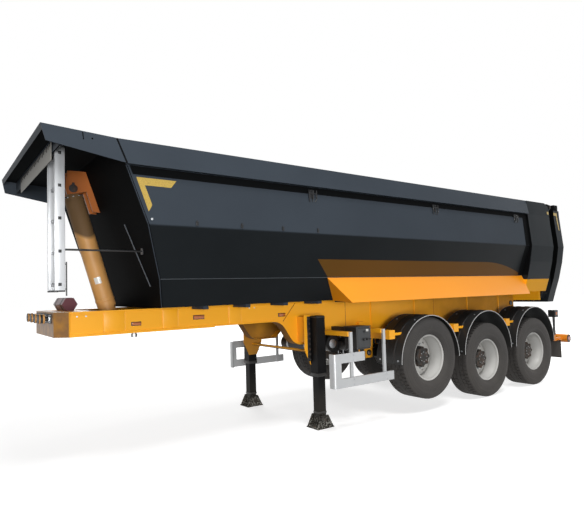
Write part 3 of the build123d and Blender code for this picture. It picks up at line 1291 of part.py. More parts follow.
with BuildPart() as tailgate_frame:
    with BuildSketch(Plane.YZ.offset(GATE_FRONT_X + GATE_SKIN)):
        add(frame_section(GATE_RECESS, GATE_BOTTOM_Z + GATE_RECESS, GATE_TOP_Z))
        add(
            frame_section(GATE_RECESS + GATE_BAND, GATE_INNER_BOTTOM_Z, GATE_INNER_TOP_Z),
            mode=Mode.SUBTRACT,
        )
    extrude(amount=GATE_REAR_X - GATE_FRONT_X - GATE_SKIN)
    with BuildSketch(Plane.YZ.offset(GATE_RIM_FRONT_X)):
        add(frame_section(0, GATE_BOTTOM_Z, GATE_TOP_Z))
        add(
            frame_section(GATE_RECESS + GATE_BAND, GATE_INNER_BOTTOM_Z, GATE_INNER_TOP_Z),
            mode=Mode.SUBTRACT,
        )
    extrude(amount=GATE_REAR_X - GATE_RIM_FRONT_X)
    for inner in (GATE_LUG_OUTER_Y - GATE_LUG_THICKNESS, -GATE_LUG_OUTER_Y):
        with BuildSketch(Plane.XZ.offset(inner)):
            with Locations((GATE_HINGE_X, GATE_HINGE_Z)):
                Circle(GATE_LUG_RADIUS)
            with Locations((GATE_HINGE_X, GATE_TOP_Z)):
                Rectangle(
                    2 * GATE_LUG_RADIUS, GATE_HINGE_Z - GATE_TOP_Z, align=(Align.CENTER, Align.MIN)
                )
            with Locations((GATE_HINGE_X, GATE_HINGE_Z)):
                Circle(GATE_PIN_RADIUS + RUNNING_GAP, mode=Mode.SUBTRACT)
        extrude(amount=GATE_LUG_THICKNESS)
save(tailgate_frame, "tailgate_frame")

with BuildPart() as tailgate_ribs:
    with BuildSketch(Plane.YZ.offset(GATE_FRONT_X + GATE_SKIN)):
        for share in GATE_RIB_SHARES:
            with Locations((0, GATE_INNER_BOTTOM_Z + share * (GATE_INNER_TOP_Z - GATE_INNER_BOTTOM_Z))):
                Rectangle(OVERALL_WIDTH, GATE_RIB_WIDTH)
        add(
            frame_section(
                GATE_RECESS + GATE_BAND + REST_GAP, GATE_INNER_BOTTOM_Z, GATE_INNER_TOP_Z
            ),
            mode=Mode.INTERSECT,
        )
    extrude(amount=GATE_RIB_DEPTH)
save(tailgate_ribs, "tailgate_ribs")

with BuildPart() as gate_ear:
    with BuildSketch(Plane.XZ.offset(GATE_EAR_INNER_Y)):
        with Locations((GATE_HINGE_X, GATE_HINGE_Z)):
            Circle(GATE_LUG_RADIUS)
        with BuildLine():
            Polyline(
                (GATE_HINGE_X, GATE_HINGE_Z + GATE_LUG_RADIUS),
                (GATE_HINGE_X, GATE_HINGE_Z - GATE_LUG_RADIUS),
                (BODY_REAR_X + REST_GAP, GATE_HINGE_Z - 3 * GATE_LUG_RADIUS),
                (BODY_REAR_X + REST_GAP, GATE_HINGE_Z),
                close=True,
            )
        make_face()
    extrude(amount=GATE_EAR_THICKNESS)
    with BuildSketch(Plane.XZ.offset(GATE_PIN_INNER_Y)):
        with Locations((GATE_HINGE_X, GATE_HINGE_Z)):
            Circle(GATE_PIN_RADIUS)
    extrude(amount=GATE_EAR_INNER_Y - GATE_PIN_INNER_Y)
tailgate_hinge_ears = both_sides(gate_ear)
save(tailgate_hinge_ears, "tailgate_hinge_ears")

# ================================================================ rear end
def tail_underside_z(x):
    """Height of the beam's tapered underside behind the rear axle."""
    share = (x - TAIL_TAPER_X) / (BEAM_REAR_X - TAIL_TAPER_X)
    return REAR_BOTTOM_Z + share * (TAIL_BOTTOM_Z - REAR_BOTTOM_Z)


with BuildPart() as rear_bumper:
    with BuildSketch(Plane.XZ):
        with Locations((BUMPER_X, BUMPER_Z)):
            Circle(BUMPER_RADIUS)
    extrude(amount=BUMPER_HALF_WIDTH, both=True)
    for side in SIDES.values():
        inner = BUMPER_ARM_Y if side < 0 else -BUMPER_ARM_Y - BUMPER_ARM_THICKNESS
        with BuildSketch(Plane.XZ.offset(inner)):
            with BuildLine():
                Polyline(
                    (BUMPER_ARM_X, tail_underside_z(BUMPER_ARM_X)),
                    (BEAM_REAR_X, TAIL_BOTTOM_Z),
                    (BUMPER_X, BUMPER_Z + BUMPER_RADIUS - BUMPER_ARM_INSET),
                    (BUMPER_X, BUMPER_Z - BUMPER_RADIUS + BUMPER_ARM_INSET),
                    (BUMPER_ARM_X, BUMPER_Z + 2 * BUMPER_RADIUS),
                    close=True,
                )
            make_face()
        extrude(amount=BUMPER_ARM_THICKNESS)
    for inner in (STRUT_Y, -STRUT_Y - STRUT_THICKNESS):
        with BuildSketch(Plane.XZ.offset(inner)):
            with Locations((STRUT_FRONT_X, MUDFLAP_TOP_Z)):
                Rectangle(BUMPER_X - STRUT_FRONT_X, STRUT_DEPTH, align=(Align.MIN, Align.MIN))
                Rectangle(
                    STRUT_DEPTH,
                    LAMP_CARRIER_BOTTOM_Z - REST_GAP - MUDFLAP_TOP_Z,
                    align=(Align.MIN, Align.MIN),
                )
        extrude(amount=STRUT_THICKNESS)
    for inner in (MUDGUARD_INNER_Y, -MUDGUARD_OUTER_Y):
        with BuildSketch(Plane.XZ.offset(inner)):
            with Locations((MUDFLAP_X + MUDFLAP_THICKNESS / 2, MUDFLAP_TOP_Z + REST_GAP)):
                Rectangle(3 * MUDFLAP_THICKNESS, STRUT_DEPTH / 2, align=(Align.CENTER, Align.MIN))
        extrude(amount=MUDGUARD_OUTER_Y - MUDGUARD_INNER_Y)
save(rear_bumper, "rear_bumper")

with BuildPart() as mudflap_left:
    with BuildSketch(Plane.YZ.offset(MUDFLAP_X)):
        with Locations((-(MUDGUARD_INNER_Y + MUDGUARD_OUTER_Y) / 2, MUDFLAP_BOTTOM_Z)):
            Rectangle(
                MUDGUARD_OUTER_Y - MUDGUARD_INNER_Y,
                MUDFLAP_TOP_Z - MUDFLAP_BOTTOM_Z,
                align=(Align.CENTER, Align.MIN),
            )
    extrude(amount=MUDFLAP_THICKNESS)
rear_mudflaps = both_sides(mudflap_left)
save(rear_mudflaps, "rear_mudflaps")

with BuildPart() as lamp_carrier:
    with BuildSketch(Plane.XY.offset(LAMP_CARRIER_BOTTOM_Z)):
        with Locations((LAMP_CARRIER_X, -(LAMP_CARRIER_INNER_Y + LAMP_CARRIER_OUTER_Y) / 2)):
            Rectangle(LAMP_CARRIER_LENGTH, LAMP_CARRIER_OUTER_Y - LAMP_CARRIER_INNER_Y)
    extrude(amount=LAMP_CARRIER_HEIGHT)
rear_lamps = both_sides(lamp_carrier)
save(rear_lamps, "rear_lamps")
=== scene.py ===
"""Looks of a three-axle dump semi-trailer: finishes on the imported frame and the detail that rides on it."""

import json
from math import atan2, cos, hypot, pi, radians, sin

import bmesh
import bpy
from mathutils import Matrix, Vector


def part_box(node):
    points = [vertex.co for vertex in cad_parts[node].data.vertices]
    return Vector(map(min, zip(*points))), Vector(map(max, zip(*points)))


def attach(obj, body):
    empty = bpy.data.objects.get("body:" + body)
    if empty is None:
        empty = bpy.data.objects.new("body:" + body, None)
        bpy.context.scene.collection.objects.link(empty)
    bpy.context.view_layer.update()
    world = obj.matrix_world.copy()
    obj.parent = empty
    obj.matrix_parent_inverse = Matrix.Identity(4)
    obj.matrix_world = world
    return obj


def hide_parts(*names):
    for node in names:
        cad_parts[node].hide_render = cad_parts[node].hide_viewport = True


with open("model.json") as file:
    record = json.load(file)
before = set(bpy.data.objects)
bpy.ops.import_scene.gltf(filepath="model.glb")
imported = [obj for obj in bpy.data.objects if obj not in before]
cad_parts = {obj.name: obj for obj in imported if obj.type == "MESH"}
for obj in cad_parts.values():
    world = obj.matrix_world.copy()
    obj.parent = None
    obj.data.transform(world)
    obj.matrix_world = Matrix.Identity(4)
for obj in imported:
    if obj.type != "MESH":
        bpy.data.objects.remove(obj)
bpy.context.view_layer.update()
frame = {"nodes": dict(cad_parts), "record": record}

SIDES = {"left": -1, "right": 1}
AXLES = ("front", "middle", "rear")
X, Y, Z = Vector((1, 0, 0)), Vector((0, 1, 0)), Vector((0, 0, 1))
YELLOW, YELLOW_DEEP = "#fdb322", "#f6a61a"
SLATE, SLATE_DEEP = "#3f464e", "#353b42"


# ================================================================ material tools
def linear(hex_colour):
    """sRGB hex to linear RGBA."""
    channels = [int(hex_colour[i:i + 2], 16) / 255 for i in (1, 3, 5)]
    return tuple(c / 12.92 if c <= 0.04045 else ((c + 0.055) / 1.055) ** 2.4 for c in channels) + (1,)


def add(tree, kind, output, inputs=None, **settings):
    """Adds a node with its settings and its inputs' links, values or hex colours, and gives one output."""
    node = tree.nodes.new("ShaderNode" + kind)
    for name, value in settings.items():
        setattr(node, name, value)
    for name, value in (inputs or {}).items():
        if isinstance(value, bpy.types.NodeSocket):
            tree.links.new(value, node.inputs[name])
        else:
            node.inputs[name].default_value = linear(value) if isinstance(value, str) else value
    return node.outputs[output]


def new_material(name, **shader_values):
    """A material with its node tree and its position in the vehicle's frame."""
    material = bpy.data.materials.new(name)
    material.use_nodes = True
    tree = material.node_tree
    for socket, value in shader_values.items():
        tree.nodes["Principled BSDF"].inputs[socket.replace("_", " ")].default_value = value
    return material, tree, add(tree, "TexCoord", "Object")


def climb(tree, vector, axis, off, full, most=1.0):
    """Factor that climbs from 0 to its most between two places on an axis."""
    spot = add(tree, "SeparateXYZ", axis, {"Vector": vector})
    return add(tree, "MapRange", "Result", {"Value": spot, "From Min": off, "From Max": full, "To Max": most})


def blotches(tree, place, size, detail, off, full, low=0.0, high=1.0, within=None):
    """Patches of a size in metres, low where their cloud is thin and high where it is thick, in a zone."""
    cloud = add(tree, "TexNoise", "Fac", {"Vector": place, "Scale": 1 / size, "Detail": detail})
    reach = {"From Min": off, "From Max": full, "To Min": low, "To Max": high}
    patches = add(tree, "MapRange", "Result", {"Value": cloud, **reach})
    return add(tree, "Math", "Value", {0: within, 1: patches}, operation="MULTIPLY") if within else patches


def mottled(tree, place, size, detail, shade, colour):
    """Two close colours in soft patches of a size in metres."""
    tone = add(tree, "TexNoise", "Fac", {"Vector": place, "Scale": 1 / size, "Detail": detail})
    return add(tree, "Mix", "Result", {"Factor": tone, "A": shade, "B": colour}, data_type="RGBA")


def finish_surface(material, place, colour, roughness, dust=0.0, dust_top=1.2, bumps=(),
                   dust_colour="#8c8374"):
    """Lays road dust, thick near the ground and cloudy, over a colour and a roughness.

    The bumps are stacked, each a height, its depth in metres and its strength.
    """
    tree = material.node_tree
    shader = tree.nodes["Principled BSDF"]
    if dust:
        cloud = add(tree, "TexNoise", "Fac", {"Vector": place, "Scale": 1 / 0.25, "Detail": 5.0})
        fall = climb(tree, place, "Z", dust_top, 0.0, dust)
        dusty = add(tree, "Math", "Value", {0: fall, 1: cloud}, operation="MULTIPLY")
        coats = {"Factor": dusty, "A": colour, "B": dust_colour}
        colour = add(tree, "Mix", "Result", coats, data_type="RGBA")
        roughness = add(tree, "Mix", "Result", {"Factor": dusty, "A": roughness, "B": 0.9})
    tree.links.new(colour, shader.inputs["Base Color"])
    if isinstance(roughness, bpy.types.NodeSocket):
        tree.links.new(roughness, shader.inputs["Roughness"])
    else:
        shader.inputs["Roughness"].default_value = roughness
    normal = {}
    for height, depth, strength in bumps:
        relief = {"Height": height, "Distance": depth, "Strength": strength, **normal}
        normal = {"Normal": add(tree, "Bump", "Normal", relief)}
    tree.links.new(normal["Normal"], shader.inputs["Normal"])
    return material


# ================================================================ paint lines
# each zone gives the factor by which a finish turns to its other colour
def beyond(axis, off, full):
    """The zone past a straight line, square to an axis."""
    return lambda tree, place: climb(tree, place, axis, off, full)


def away_from_middle(tree, place):
    """How much a face looks away from the vehicle's middle, above 0, or towards it, below 0."""
    facing = add(tree, "SeparateXYZ", "Y", {"Vector": add(tree, "TexCoord", "Normal")})
    across = add(tree, "SeparateXYZ", "Y", {"Vector": place})
    return add(tree, "Math", "Value", {0: facing, 1: across}, operation="MULTIPLY")


def flank_zone(tree, place):
    """The yellow flank above the skirt, drawn in painted shade: it starts on a slanted line, and its top
    falls away to the rear.
    """
    along, height = (add(tree, "SeparateXYZ", axis, {"Vector": place}) for axis in "XZ")
    slant = add(tree, "Math", "Value", {0: height, 1: 0.98, 2: along}, operation="MULTIPLY_ADD")
    begun = add(tree, "MapRange", "Result", {"Value": slant, "From Min": 0.59, "From Max": 0.594})
    past = climb(tree, place, "X", 1.9, 3.03, 0.452)
    drop = add(tree, "Math", "Value", {0: past, 1: past, 2: height}, operation="MULTIPLY_ADD")
    below = add(tree, "MapRange", "Result", {"Value": drop, "From Min": 1.976, "From Max": 1.973})
    above = climb(tree, place, "Z", 1.766, 1.769)
    belt = add(tree, "Math", "Value", {0: below, 1: above}, operation="MULTIPLY")
    return add(tree, "Math", "Value", {0: begun, 1: belt}, operation="MULTIPLY")


def nose_shade_zone(tree, place):
    """Painted shade on the nose, ahead of the beams, in brown blotches."""
    ahead = climb(tree, place, "X", -3.835, -3.845)
    return blotches(tree, place, 0.12, 4.0, 0.2, 0.6, 0.55, 0.9, within=ahead)


def canopy_underside_shade(tree, place):
    """Painted shade on the canopy's underside: faces that look down turn near black."""
    return climb(tree, add(tree, "TexCoord", "Normal"), "Z", -0.2, -0.35)


def gate_gap_shade_zone(tree, place):
    """Painted shade in the recess between the rear frame and the tailgate's rim."""
    across = add(tree, "SeparateXYZ", "Y", {"Vector": place})
    wide = add(tree, "Math", "Value", {0: across}, operation="ABSOLUTE")
    outside = add(tree, "MapRange", "Result", {"Value": wide, "From Min": 1.1, "From Max": 1.12})
    deep = climb(tree, place, "X", 3.886, 3.882)
    return add(tree, "Math", "Value", {0: outside, 1: deep}, operation="MULTIPLY")


def scuffed_zone(tree, place):
    """Bare, muddy metal on the feet of the landing legs."""
    return blotches(tree, place, 0.02, 5.0, 0.5, 0.62, within=climb(tree, place, "Z", 0.17, 0.03))


def underbody_shade_zone(tree, place):
    """Painted shade, brown in blotches, on beams and brackets: to the rear under the skirt, on undersides and
    on inner sides.
    """
    behind = climb(tree, place, "X", 0.2, 1.8, 0.6)
    underneath = climb(tree, add(tree, "TexCoord", "Normal"), "Z", -0.15, -0.4)
    inward = {"Value": away_from_middle(tree, place), "From Min": -0.1, "From Max": -0.15, "To Max": 0.8}
    inside = add(tree, "MapRange", "Result", inward)
    hidden = add(tree, "Math", "Value", {0: underneath, 1: inside}, operation="MAXIMUM")
    shaded_parts = add(tree, "Math", "Value", {0: behind, 1: hidden}, operation="MAXIMUM")
    return blotches(tree, place, 0.3, 5.0, 0.25, 0.6, 0.6, 0.9, within=shaded_parts)


def canopy_shadow_zone(tree, place):
    """The canopy's shadow, painted dark on the upper end of the hoist cylinder, with a bowed lower edge."""
    across, height = (add(tree, "SeparateXYZ", axis, {"Vector": place}) for axis in "YZ")
    bow = add(tree, "Math", "Value", {0: across, 1: 2.0}, operation="POWER")
    edge = add(tree, "Math", "Value", {0: bow, 1: 6.0, 2: height}, operation="MULTIPLY_ADD")
    reach = {"From Min": 2.27, "From Max": 2.31, "To Max": 0.85}
    return add(tree, "MapRange", "Result", {"Value": edge, **reach})


# ================================================================ finishes
def sprayed_skin(tree, place):
    """Rolled plate sways over half a metre. Orange peel is 2 to 4 mm, drawn 10 mm so that it shows."""
    waves = add(tree, "TexNoise", "Fac", {"Vector": place, "Scale": 1 / 0.55, "Detail": 1.0})
    peel = add(tree, "TexNoise", "Fac", {"Vector": place, "Scale": 1 / 0.01, "Detail": 2.0})
    return (waves, 0.02, 0.12), (peel, 0.001, 0.05)


def scoured_slate(tree, place, most):
    """Slate enamel worn by gravel, its wear and its scores. Scores are 1 to 3 mm wide, drawn 12 mm."""
    worn = add(tree, "TexNoise", "Fac", {"Vector": place, "Scale": 1 / 0.35, "Detail": 6.0})
    along = add(tree, "Mapping", "Vector", {"Vector": place, "Scale": (1 / 14, 1, 1)})
    scores = add(tree, "TexNoise", "Fac", {"Vector": along, "Scale": 1 / 0.012, "Detail": 3.0})
    both = add(tree, "Math", "Value", {0: worn, 1: scores}, operation="MULTIPLY")
    reach = {"From Min": 0.3, "From Max": 0.42, "To Max": most}
    bare = add(tree, "MapRange", "Result", {"Value": both, **reach})
    paint = add(tree, "Mix", "Result", {"Factor": bare, "A": SLATE_DEEP, "B": "#6d6a66"}, data_type="RGBA")
    return paint, worn, scores


def sprayed_enamel(name, colour, shade, roughness=0.33, dust=0.0, dust_top=1.3,
                   zone=None, other=YELLOW, other_roughness=None, ior=1.45):
    """Two-pack enamel sprayed over rolled plate: even colour, a slightly wavy gloss and fine orange peel."""
    material, tree, place = new_material(name, IOR=ior)
    paint = mottled(tree, place, 0.7, 3.0, shade, colour)
    if zone:
        where = zone(tree, place)
        paint = add(tree, "Mix", "Result", {"Factor": where, "A": paint, "B": other}, data_type="RGBA")
        if other_roughness:
            roughness = add(tree, "Mix", "Result", {"Factor": where, "A": roughness, "B": other_roughness})
    return finish_surface(material, place, paint, roughness, dust, dust_top, sprayed_skin(tree, place))


def side_sheet(name):
    """The tub's side sheet: slate enamel outside, its lower bends darker and its yellow flank dark
    brown-yellow as painted shade; scoured matt by gravel inside.
    """
    material, tree, place = new_material(name, IOR=1.12)
    # painted shade: the bends below the upper fold, which face down, are darker
    upper = mottled(tree, place, 0.9, 3.0, SLATE_DEEP, SLATE)
    lower = mottled(tree, place, 0.9, 3.0, "#16191b", "#202427")
    fold = climb(tree, place, "Z", 2.262, 2.238)
    slate = add(tree, "Mix", "Result", {"Factor": fold, "A": upper, "B": lower}, data_type="RGBA")
    # painted shade: the yellow flank, which faces down, in dark brown-yellow
    shaded_yellow = mottled(tree, place, 0.9, 3.0, "#5f421b", "#69491f")
    flank = flank_zone(tree, place)
    outside = add(tree, "Mix", "Result", {"Factor": flank, "A": slate, "B": shaded_yellow}, data_type="RGBA")
    inside = scoured_slate(tree, place, 0.35)[0]
    away = away_from_middle(tree, place)
    out = add(tree, "MapRange", "Result", {"Value": away, "From Min": 0.1, "From Max": 0.11})
    paint = add(tree, "Mix", "Result", {"Factor": out, "A": inside, "B": outside}, data_type="RGBA")
    rough = add(tree, "MapRange", "Result", {"Value": out, "To Min": 0.6, "To Max": 0.33})
    return finish_surface(material, place, paint, rough, bumps=sprayed_skin(tree, place))


def scoured_lining(name):
    """The load space's floor: enamel scuffed matt by gravel, with thin bright scores along the slide."""
    material, tree, place = new_material(name, IOR=1.45)
    paint, worn, scores = scoured_slate(tree, place, 0.55)
    return finish_surface(material, place, paint, 0.55, bumps=((scores, 0.001, 0.3), (worn, 0.01, 0.2)))


def moulded_plastic(name, colour, shade, dust):
    """Injection-moulded polypropylene: matt, with the mould's leather grain of about 1 mm, drawn 6 mm."""
    material, tree, place = new_material(name, IOR=1.49)
    paint = mottled(tree, place, 0.2, 4.0, shade, colour)
    grain = add(tree, "TexVoronoi", "Distance", {"Vector": place, "Scale": 1 / 0.006})
    return finish_surface(material, place, paint, 0.5, dust, bumps=((grain, 0.001, 0.15),))


def vulcanised_rubber(name, colour, shade, dust):
    """Vulcanised carbon-black rubber: dull, greying in patches where it has weathered, with road dust.

    The mould leaves an eroded skin, finer than 1 mm and drawn 7 mm.
    """
    material, tree, place = new_material(name, IOR=1.52)
    paint = mottled(tree, place, 0.11, 6.0, shade, colour)
    pores = add(tree, "TexNoise", "Fac", {"Vector": place, "Scale": 1 / 0.007, "Detail": 3.0})
    return finish_surface(material, place, paint, 0.78, dust, 1.4, ((pores, 0.001, 0.3),), "#8a8279")


def extruded_aluminium(name, grain_scale, colour, shade):
    """Extruded aluminium, mill finish: pale grey, with die lines along it 0.5 mm apart, drawn 4 mm."""
    material, tree, place = new_material(name, Metallic=0.5)
    along = add(tree, "Mapping", "Vector", {"Vector": place, "Scale": grain_scale})
    lines = add(tree, "TexNoise", "Fac", {"Vector": along, "Scale": 1 / 0.004, "Detail": 3.0})
    rough = blotches(tree, along, 0.004, 3.0, 0.3, 0.7, 0.3, 0.46)
    paint = mottled(tree, place, 0.15, 3.0, shade, colour)
    return finish_surface(material, place, paint, rough, 0.12, 1.0, ((lines, 0.0006, 0.25),))


def zinc_plate(name, colour, shade, roughness):
    """Zinc-plated steel: cool grey with a faint spangle."""
    material, tree, place = new_material(name, Metallic=1.0)
    spangle = add(tree, "TexVoronoi", "Distance", {"Vector": place, "Scale": 1 / 0.02})
    paint = add(tree, "Mix", "Result", {"Factor": spangle, "A": colour, "B": shade}, data_type="RGBA")
    reach = {"To Min": roughness - 0.08, "To Max": roughness + 0.1}
    rough = add(tree, "MapRange", "Result", {"Value": spangle, **reach})
    return finish_surface(material, place, paint, rough, 0.25, 0.9, ((spangle, 0.0004, 0.1),))


def cast_iron(name):
    """Sand-cast grey iron under thin primer: rust shows in the hollows. Sand leaves 1 mm pits, drawn 6 mm."""
    material, tree, place = new_material(name, Metallic=0.25)
    rusty = blotches(tree, place, 0.05, 6.0, 0.45, 0.75)
    paint = add(tree, "Mix", "Result", {"Factor": rusty, "A": "#242424", "B": "#4a3326"}, data_type="RGBA")
    skin = add(tree, "TexNoise", "Fac", {"Vector": place, "Scale": 1 / 0.006, "Detail": 5.0})
    return finish_surface(material, place, paint, 0.7, 0.3, 1.0, ((skin, 0.0015, 0.4),))


def hard_chrome(name):
    """Ground and hard-chromed tube: mirror bright, with the faint rings of the grinding wheel."""
    material, tree, place = new_material(name, Metallic=1.0)
    around = add(tree, "Mapping", "Vector", {"Vector": place, "Scale": (1 / 12, 1 / 12, 1)})
    rings = add(tree, "TexNoise", "Fac", {"Vector": around, "Scale": 1 / 0.005, "Detail": 2.0})
    rough = blotches(tree, around, 0.005, 2.0, 0.3, 0.7, 0.08, 0.16)
    paint = mottled(tree, around, 0.005, 2.0, "#c9ccce", "#d6d9db")
    return finish_surface(material, place, paint, rough, bumps=((rings, 0.0003, 0.08),))


def moulded_lens(name, colour, shade):
    """Moulded acrylic lens over a reflector: deep clear colour over a grid of 3 mm prisms, drawn 8 mm."""
    material, tree, place = new_material(name, IOR=1.49, Coat_Weight=0.6)
    cell = {"Vector": place, "Scale": 1 / 0.008}
    prisms = add(tree, "TexVoronoi", "Distance", cell, distance="CHEBYCHEV")
    depth = add(tree, "MapRange", "Result", {"Value": prisms, "To Max": 0.7})
    paint = add(tree, "Mix", "Result", {"Factor": depth, "A": colour, "B": shade}, data_type="RGBA")
    return finish_surface(material, place, paint, 0.18, 0.1, 0.6, ((prisms, 0.001, 0.35),))


def reflective_sheet(name, colour, shade):
    """Retroreflective sheet: pale, with a honeycomb of prism cells 3 mm across, drawn 12 mm."""
    material, tree, place = new_material(name, IOR=1.5, Coat_Weight=0.4)
    comb = {"Vector": place, "Scale": 1 / 0.012}
    walls = add(tree, "TexVoronoi", "Distance", comb, feature="DISTANCE_TO_EDGE")
    cell = add(tree, "MapRange", "Result", {"Value": walls, "From Min": 0.02, "From Max": 0.1})
    paint = add(tree, "Mix", "Result", {"Factor": cell, "A": shade, "B": colour}, data_type="RGBA")
    return finish_surface(material, place, paint, 0.4, bumps=((walls, 0.0004, 0.1),))


foot_zone = beyond("Z", 1.707, 1.704)       # the yellow foot of the rear posts
strut_zone = beyond("Z", 0.742, 0.745)      # the black struts above the bumper's tube
dull_slate = {"ior": 1.12}
dusty_yellow = {"roughness": 0.36, "dust": 0.25}

strip_paint = sprayed_enamel("pale_primer_on_strip", "#9c9a94", "#8a8882", 0.6)
chassis_paint = sprayed_enamel("yellow_enamel_on_plate", YELLOW, YELLOW_DEEP, **dusty_yellow)
# beams and brackets: yellow enamel with painted shade in brown blotches
beam_paint = sprayed_enamel("yellow_enamel_on_beams", YELLOW, YELLOW_DEEP, **dusty_yellow,
                            zone=underbody_shade_zone, other="#4a2a10", other_roughness=0.9)
skirt_paint = sprayed_enamel("yellow_enamel_on_skirt", "#f69c1a", "#f19417", 0.36)
# the nose and its plates: yellow enamel with painted shade in brown blotches
nose_shade_paint = sprayed_enamel("yellow_enamel_nose_painted_shade", YELLOW, YELLOW_DEEP, 0.42, 0.25,
                            zone=nose_shade_zone, other="#6f5138")
# splice welds drawn darker brown: painted shade along the seam
splice_shade_paint = sprayed_enamel("splice_weld_painted_shade", "#a8660f", "#965a0e", 0.4, 0.25)
bumper_paint = sprayed_enamel("orange_enamel_on_bumper", "#ee8f1d", "#e2851a", 0.36, 0.25, 1.0,
                              zone=strut_zone, other="#17181a")
# the cylinder's head bracket, yellow, drawn brown-orange: painted shade
bracket_shade_paint = sprayed_enamel("yellow_bracket_in_painted_shade", "#b0642a", "#98531f", 0.36)
slate_paint = sprayed_enamel("slate_enamel_on_plate", SLATE, SLATE_DEEP, **dull_slate)
side_paint = side_sheet("slate_enamel_side_sheet")
post_paint = sprayed_enamel("slate_enamel_rear_frame", "#24292d", "#1e2225", zone=foot_zone, **dull_slate)
# the canopy's underside is near black: painted shade
canopy_paint = sprayed_enamel("slate_enamel_canopy", SLATE, SLATE_DEEP, **dull_slate,
                              zone=canopy_underside_shade, other="#0b0d0e", other_roughness=0.95)
# the recess beside the tailgate's rim is near black: painted shade
gate_paint = sprayed_enamel("slate_enamel_tailgate", "#24292d", "#1e2225", **dull_slate,
                            zone=gate_gap_shade_zone, other="#050606", other_roughness=0.9)
# the slate front wall drawn near black: painted shade under the canopy
front_wall_shade_paint = sprayed_enamel("slate_front_wall_in_painted_shade", "#0b0c0d", "#070808", 0.6, ior=1.05)
grey_paint = sprayed_enamel("grey_enamel_weld_bead", "#4a5056", "#3f454a", 0.4)
# near black, for dark parts and for painted shade in gaps and slits
black_and_painted_shade = sprayed_enamel("black_paint_and_painted_shade", "#0b0c0d", "#08090a", 0.7, **dull_slate)
lining = scoured_lining("scoured_floor_lining")
black_paint = sprayed_enamel("black_enamel_on_tube", "#151618", "#0f1012", 0.38, 0.2, 1.2)
leg_paint = sprayed_enamel("black_enamel_scuffed_feet", "#0d0d0e", "#09090a", 0.4, 0.25, 0.5,
                           zone=scuffed_zone, other="#9b9a94", ior=1.2)
# the hoist cylinder: bronze enamel with the canopy's painted shadow on its upper end
gold_paint = sprayed_enamel("bronze_enamel_on_tube", "#d8a05e", "#c59152", 0.52,
                            zone=canopy_shadow_zone, other="#433625", other_roughness=0.8)
maroon_paint = sprayed_enamel("maroon_enamel_on_sheet", "#5d1f2c", "#4e1824", 0.34, 0.1, 1.0)
wheel_paint = sprayed_enamel("silver_enamel_on_rims", "#c2c1be", "#b0afab", 0.34, 0.08, 1.1)
plastic = moulded_plastic("black_polypropylene", "#101112", "#161718", 0.15)
lid_plastic = moulded_plastic("charcoal_polypropylene", "#2b2d2f", "#323436", 0.1)
trim_plastic = moulded_plastic("pale_edging_strip", "#b4b4b4", "#a4a4a4", 0.1)
rubber = vulcanised_rubber("vulcanised_rubber", "#2b2a2a", "#212121", 0.5)
tyre_rubber = vulcanised_rubber("tyre_rubber", "#2a2827", "#201e1d", 0.2)
aluminium_up = extruded_aluminium("extruded_aluminium_upright", (1, 1, 1 / 40), "#c9cbcd", "#bbbdc0")
# the rungs: the stiles' aluminium drawn darker, as painted shade
rung_aluminium_shaded = extruded_aluminium("extruded_aluminium_rung_in_painted_shade", (1, 1 / 40, 1), "#7d7f82", "#6d6f72")
aluminium_along = extruded_aluminium("extruded_aluminium_rail", (1 / 40, 1, 1), "#bdbfc0", "#afb1b3")
zinc = zinc_plate("zinc_plated_steel", "#b9bcbf", "#a4a7aa", 0.38)
steel = zinc_plate("ground_steel", "#9ea0a2", "#8c8e90", 0.3)
hub_iron = cast_iron("cast_iron")
chrome = hard_chrome("hard_chrome")
amber_lens = moulded_lens("amber_acrylic", "#c96a14", "#5a2408")
red_lens = moulded_lens("red_acrylic", "#b3130f", "#3a0605")
white_lens = moulded_lens("clear_acrylic", "#e0e0dc", "#8d8f90")
marking_tape = reflective_sheet("yellow_marking_tape", "#b99b42", "#9d8232")
plate_white = reflective_sheet("blank_white_sheet", "#dcdbd5", "#cbcac4")

FINISHES = {
    "chassis_yellow": chassis_paint, "body_dark": slate_paint, "black_paint": black_paint,
    "machined_steel": steel, "rest_pad": rubber, "air_spring_rubber": rubber, "black_plastic": plastic,
    "flap_rubber": rubber, "aluminium_profile": aluminium_up, "cylinder_gold": gold_paint,
    "chrome_stage": chrome, "tyre_rubber": tyre_rubber, "wheel_silver": wheel_paint,
    "coupling_plastic": plastic,
}
SPECIAL = {
    "tub_side_left": side_paint, "tub_side_right": side_paint, "tub_floor": lining, "rear_frame": post_paint,
    "side_guards": aluminium_along, "chassis_beam_left": beam_paint, "chassis_beam_right": beam_paint,
    "landing_leg_brackets": beam_paint, "side_skirts": skirt_paint, "tool_box": maroon_paint,
    "rear_bumper": bumper_paint, "chassis_crossmembers": nose_shade_paint, "coupling_plate": nose_shade_paint,
    "canopy": canopy_paint, "tailgate_frame": gate_paint, "tailgate_panel": gate_paint,
    "tailgate_ribs": gate_paint, "front_wall": front_wall_shade_paint, "cylinder_head_bracket": bracket_shade_paint,
    "landing_legs": leg_paint,
}
for part in frame["record"]["subparts"]:
    mesh = frame["nodes"][part["node"]].data
    mesh.materials.clear()
    mesh.materials.append(SPECIAL.get(part["node"], FINISHES[part["material_slot"]]))


# ================================================================ shaping tools
def shapes(count):
    """Empty shapes to build pieces in."""
    return [bmesh.new() for _ in range(count)]


def soften(shape, corners, edge, rims=False):
    """Rounds all edges between the corners, or only the rims of a round bar."""
    lines = {line for corner in corners for line in corner.link_edges
             if not rims or any(len(face.verts) > 4 for face in line.link_faces)}
    rounding = {"affect": "EDGES", "segments": 2, "profile": 0.5, "material": -1}
    if edge:
        bmesh.ops.bevel(shape, geom=list(lines), offset=edge, **rounding)


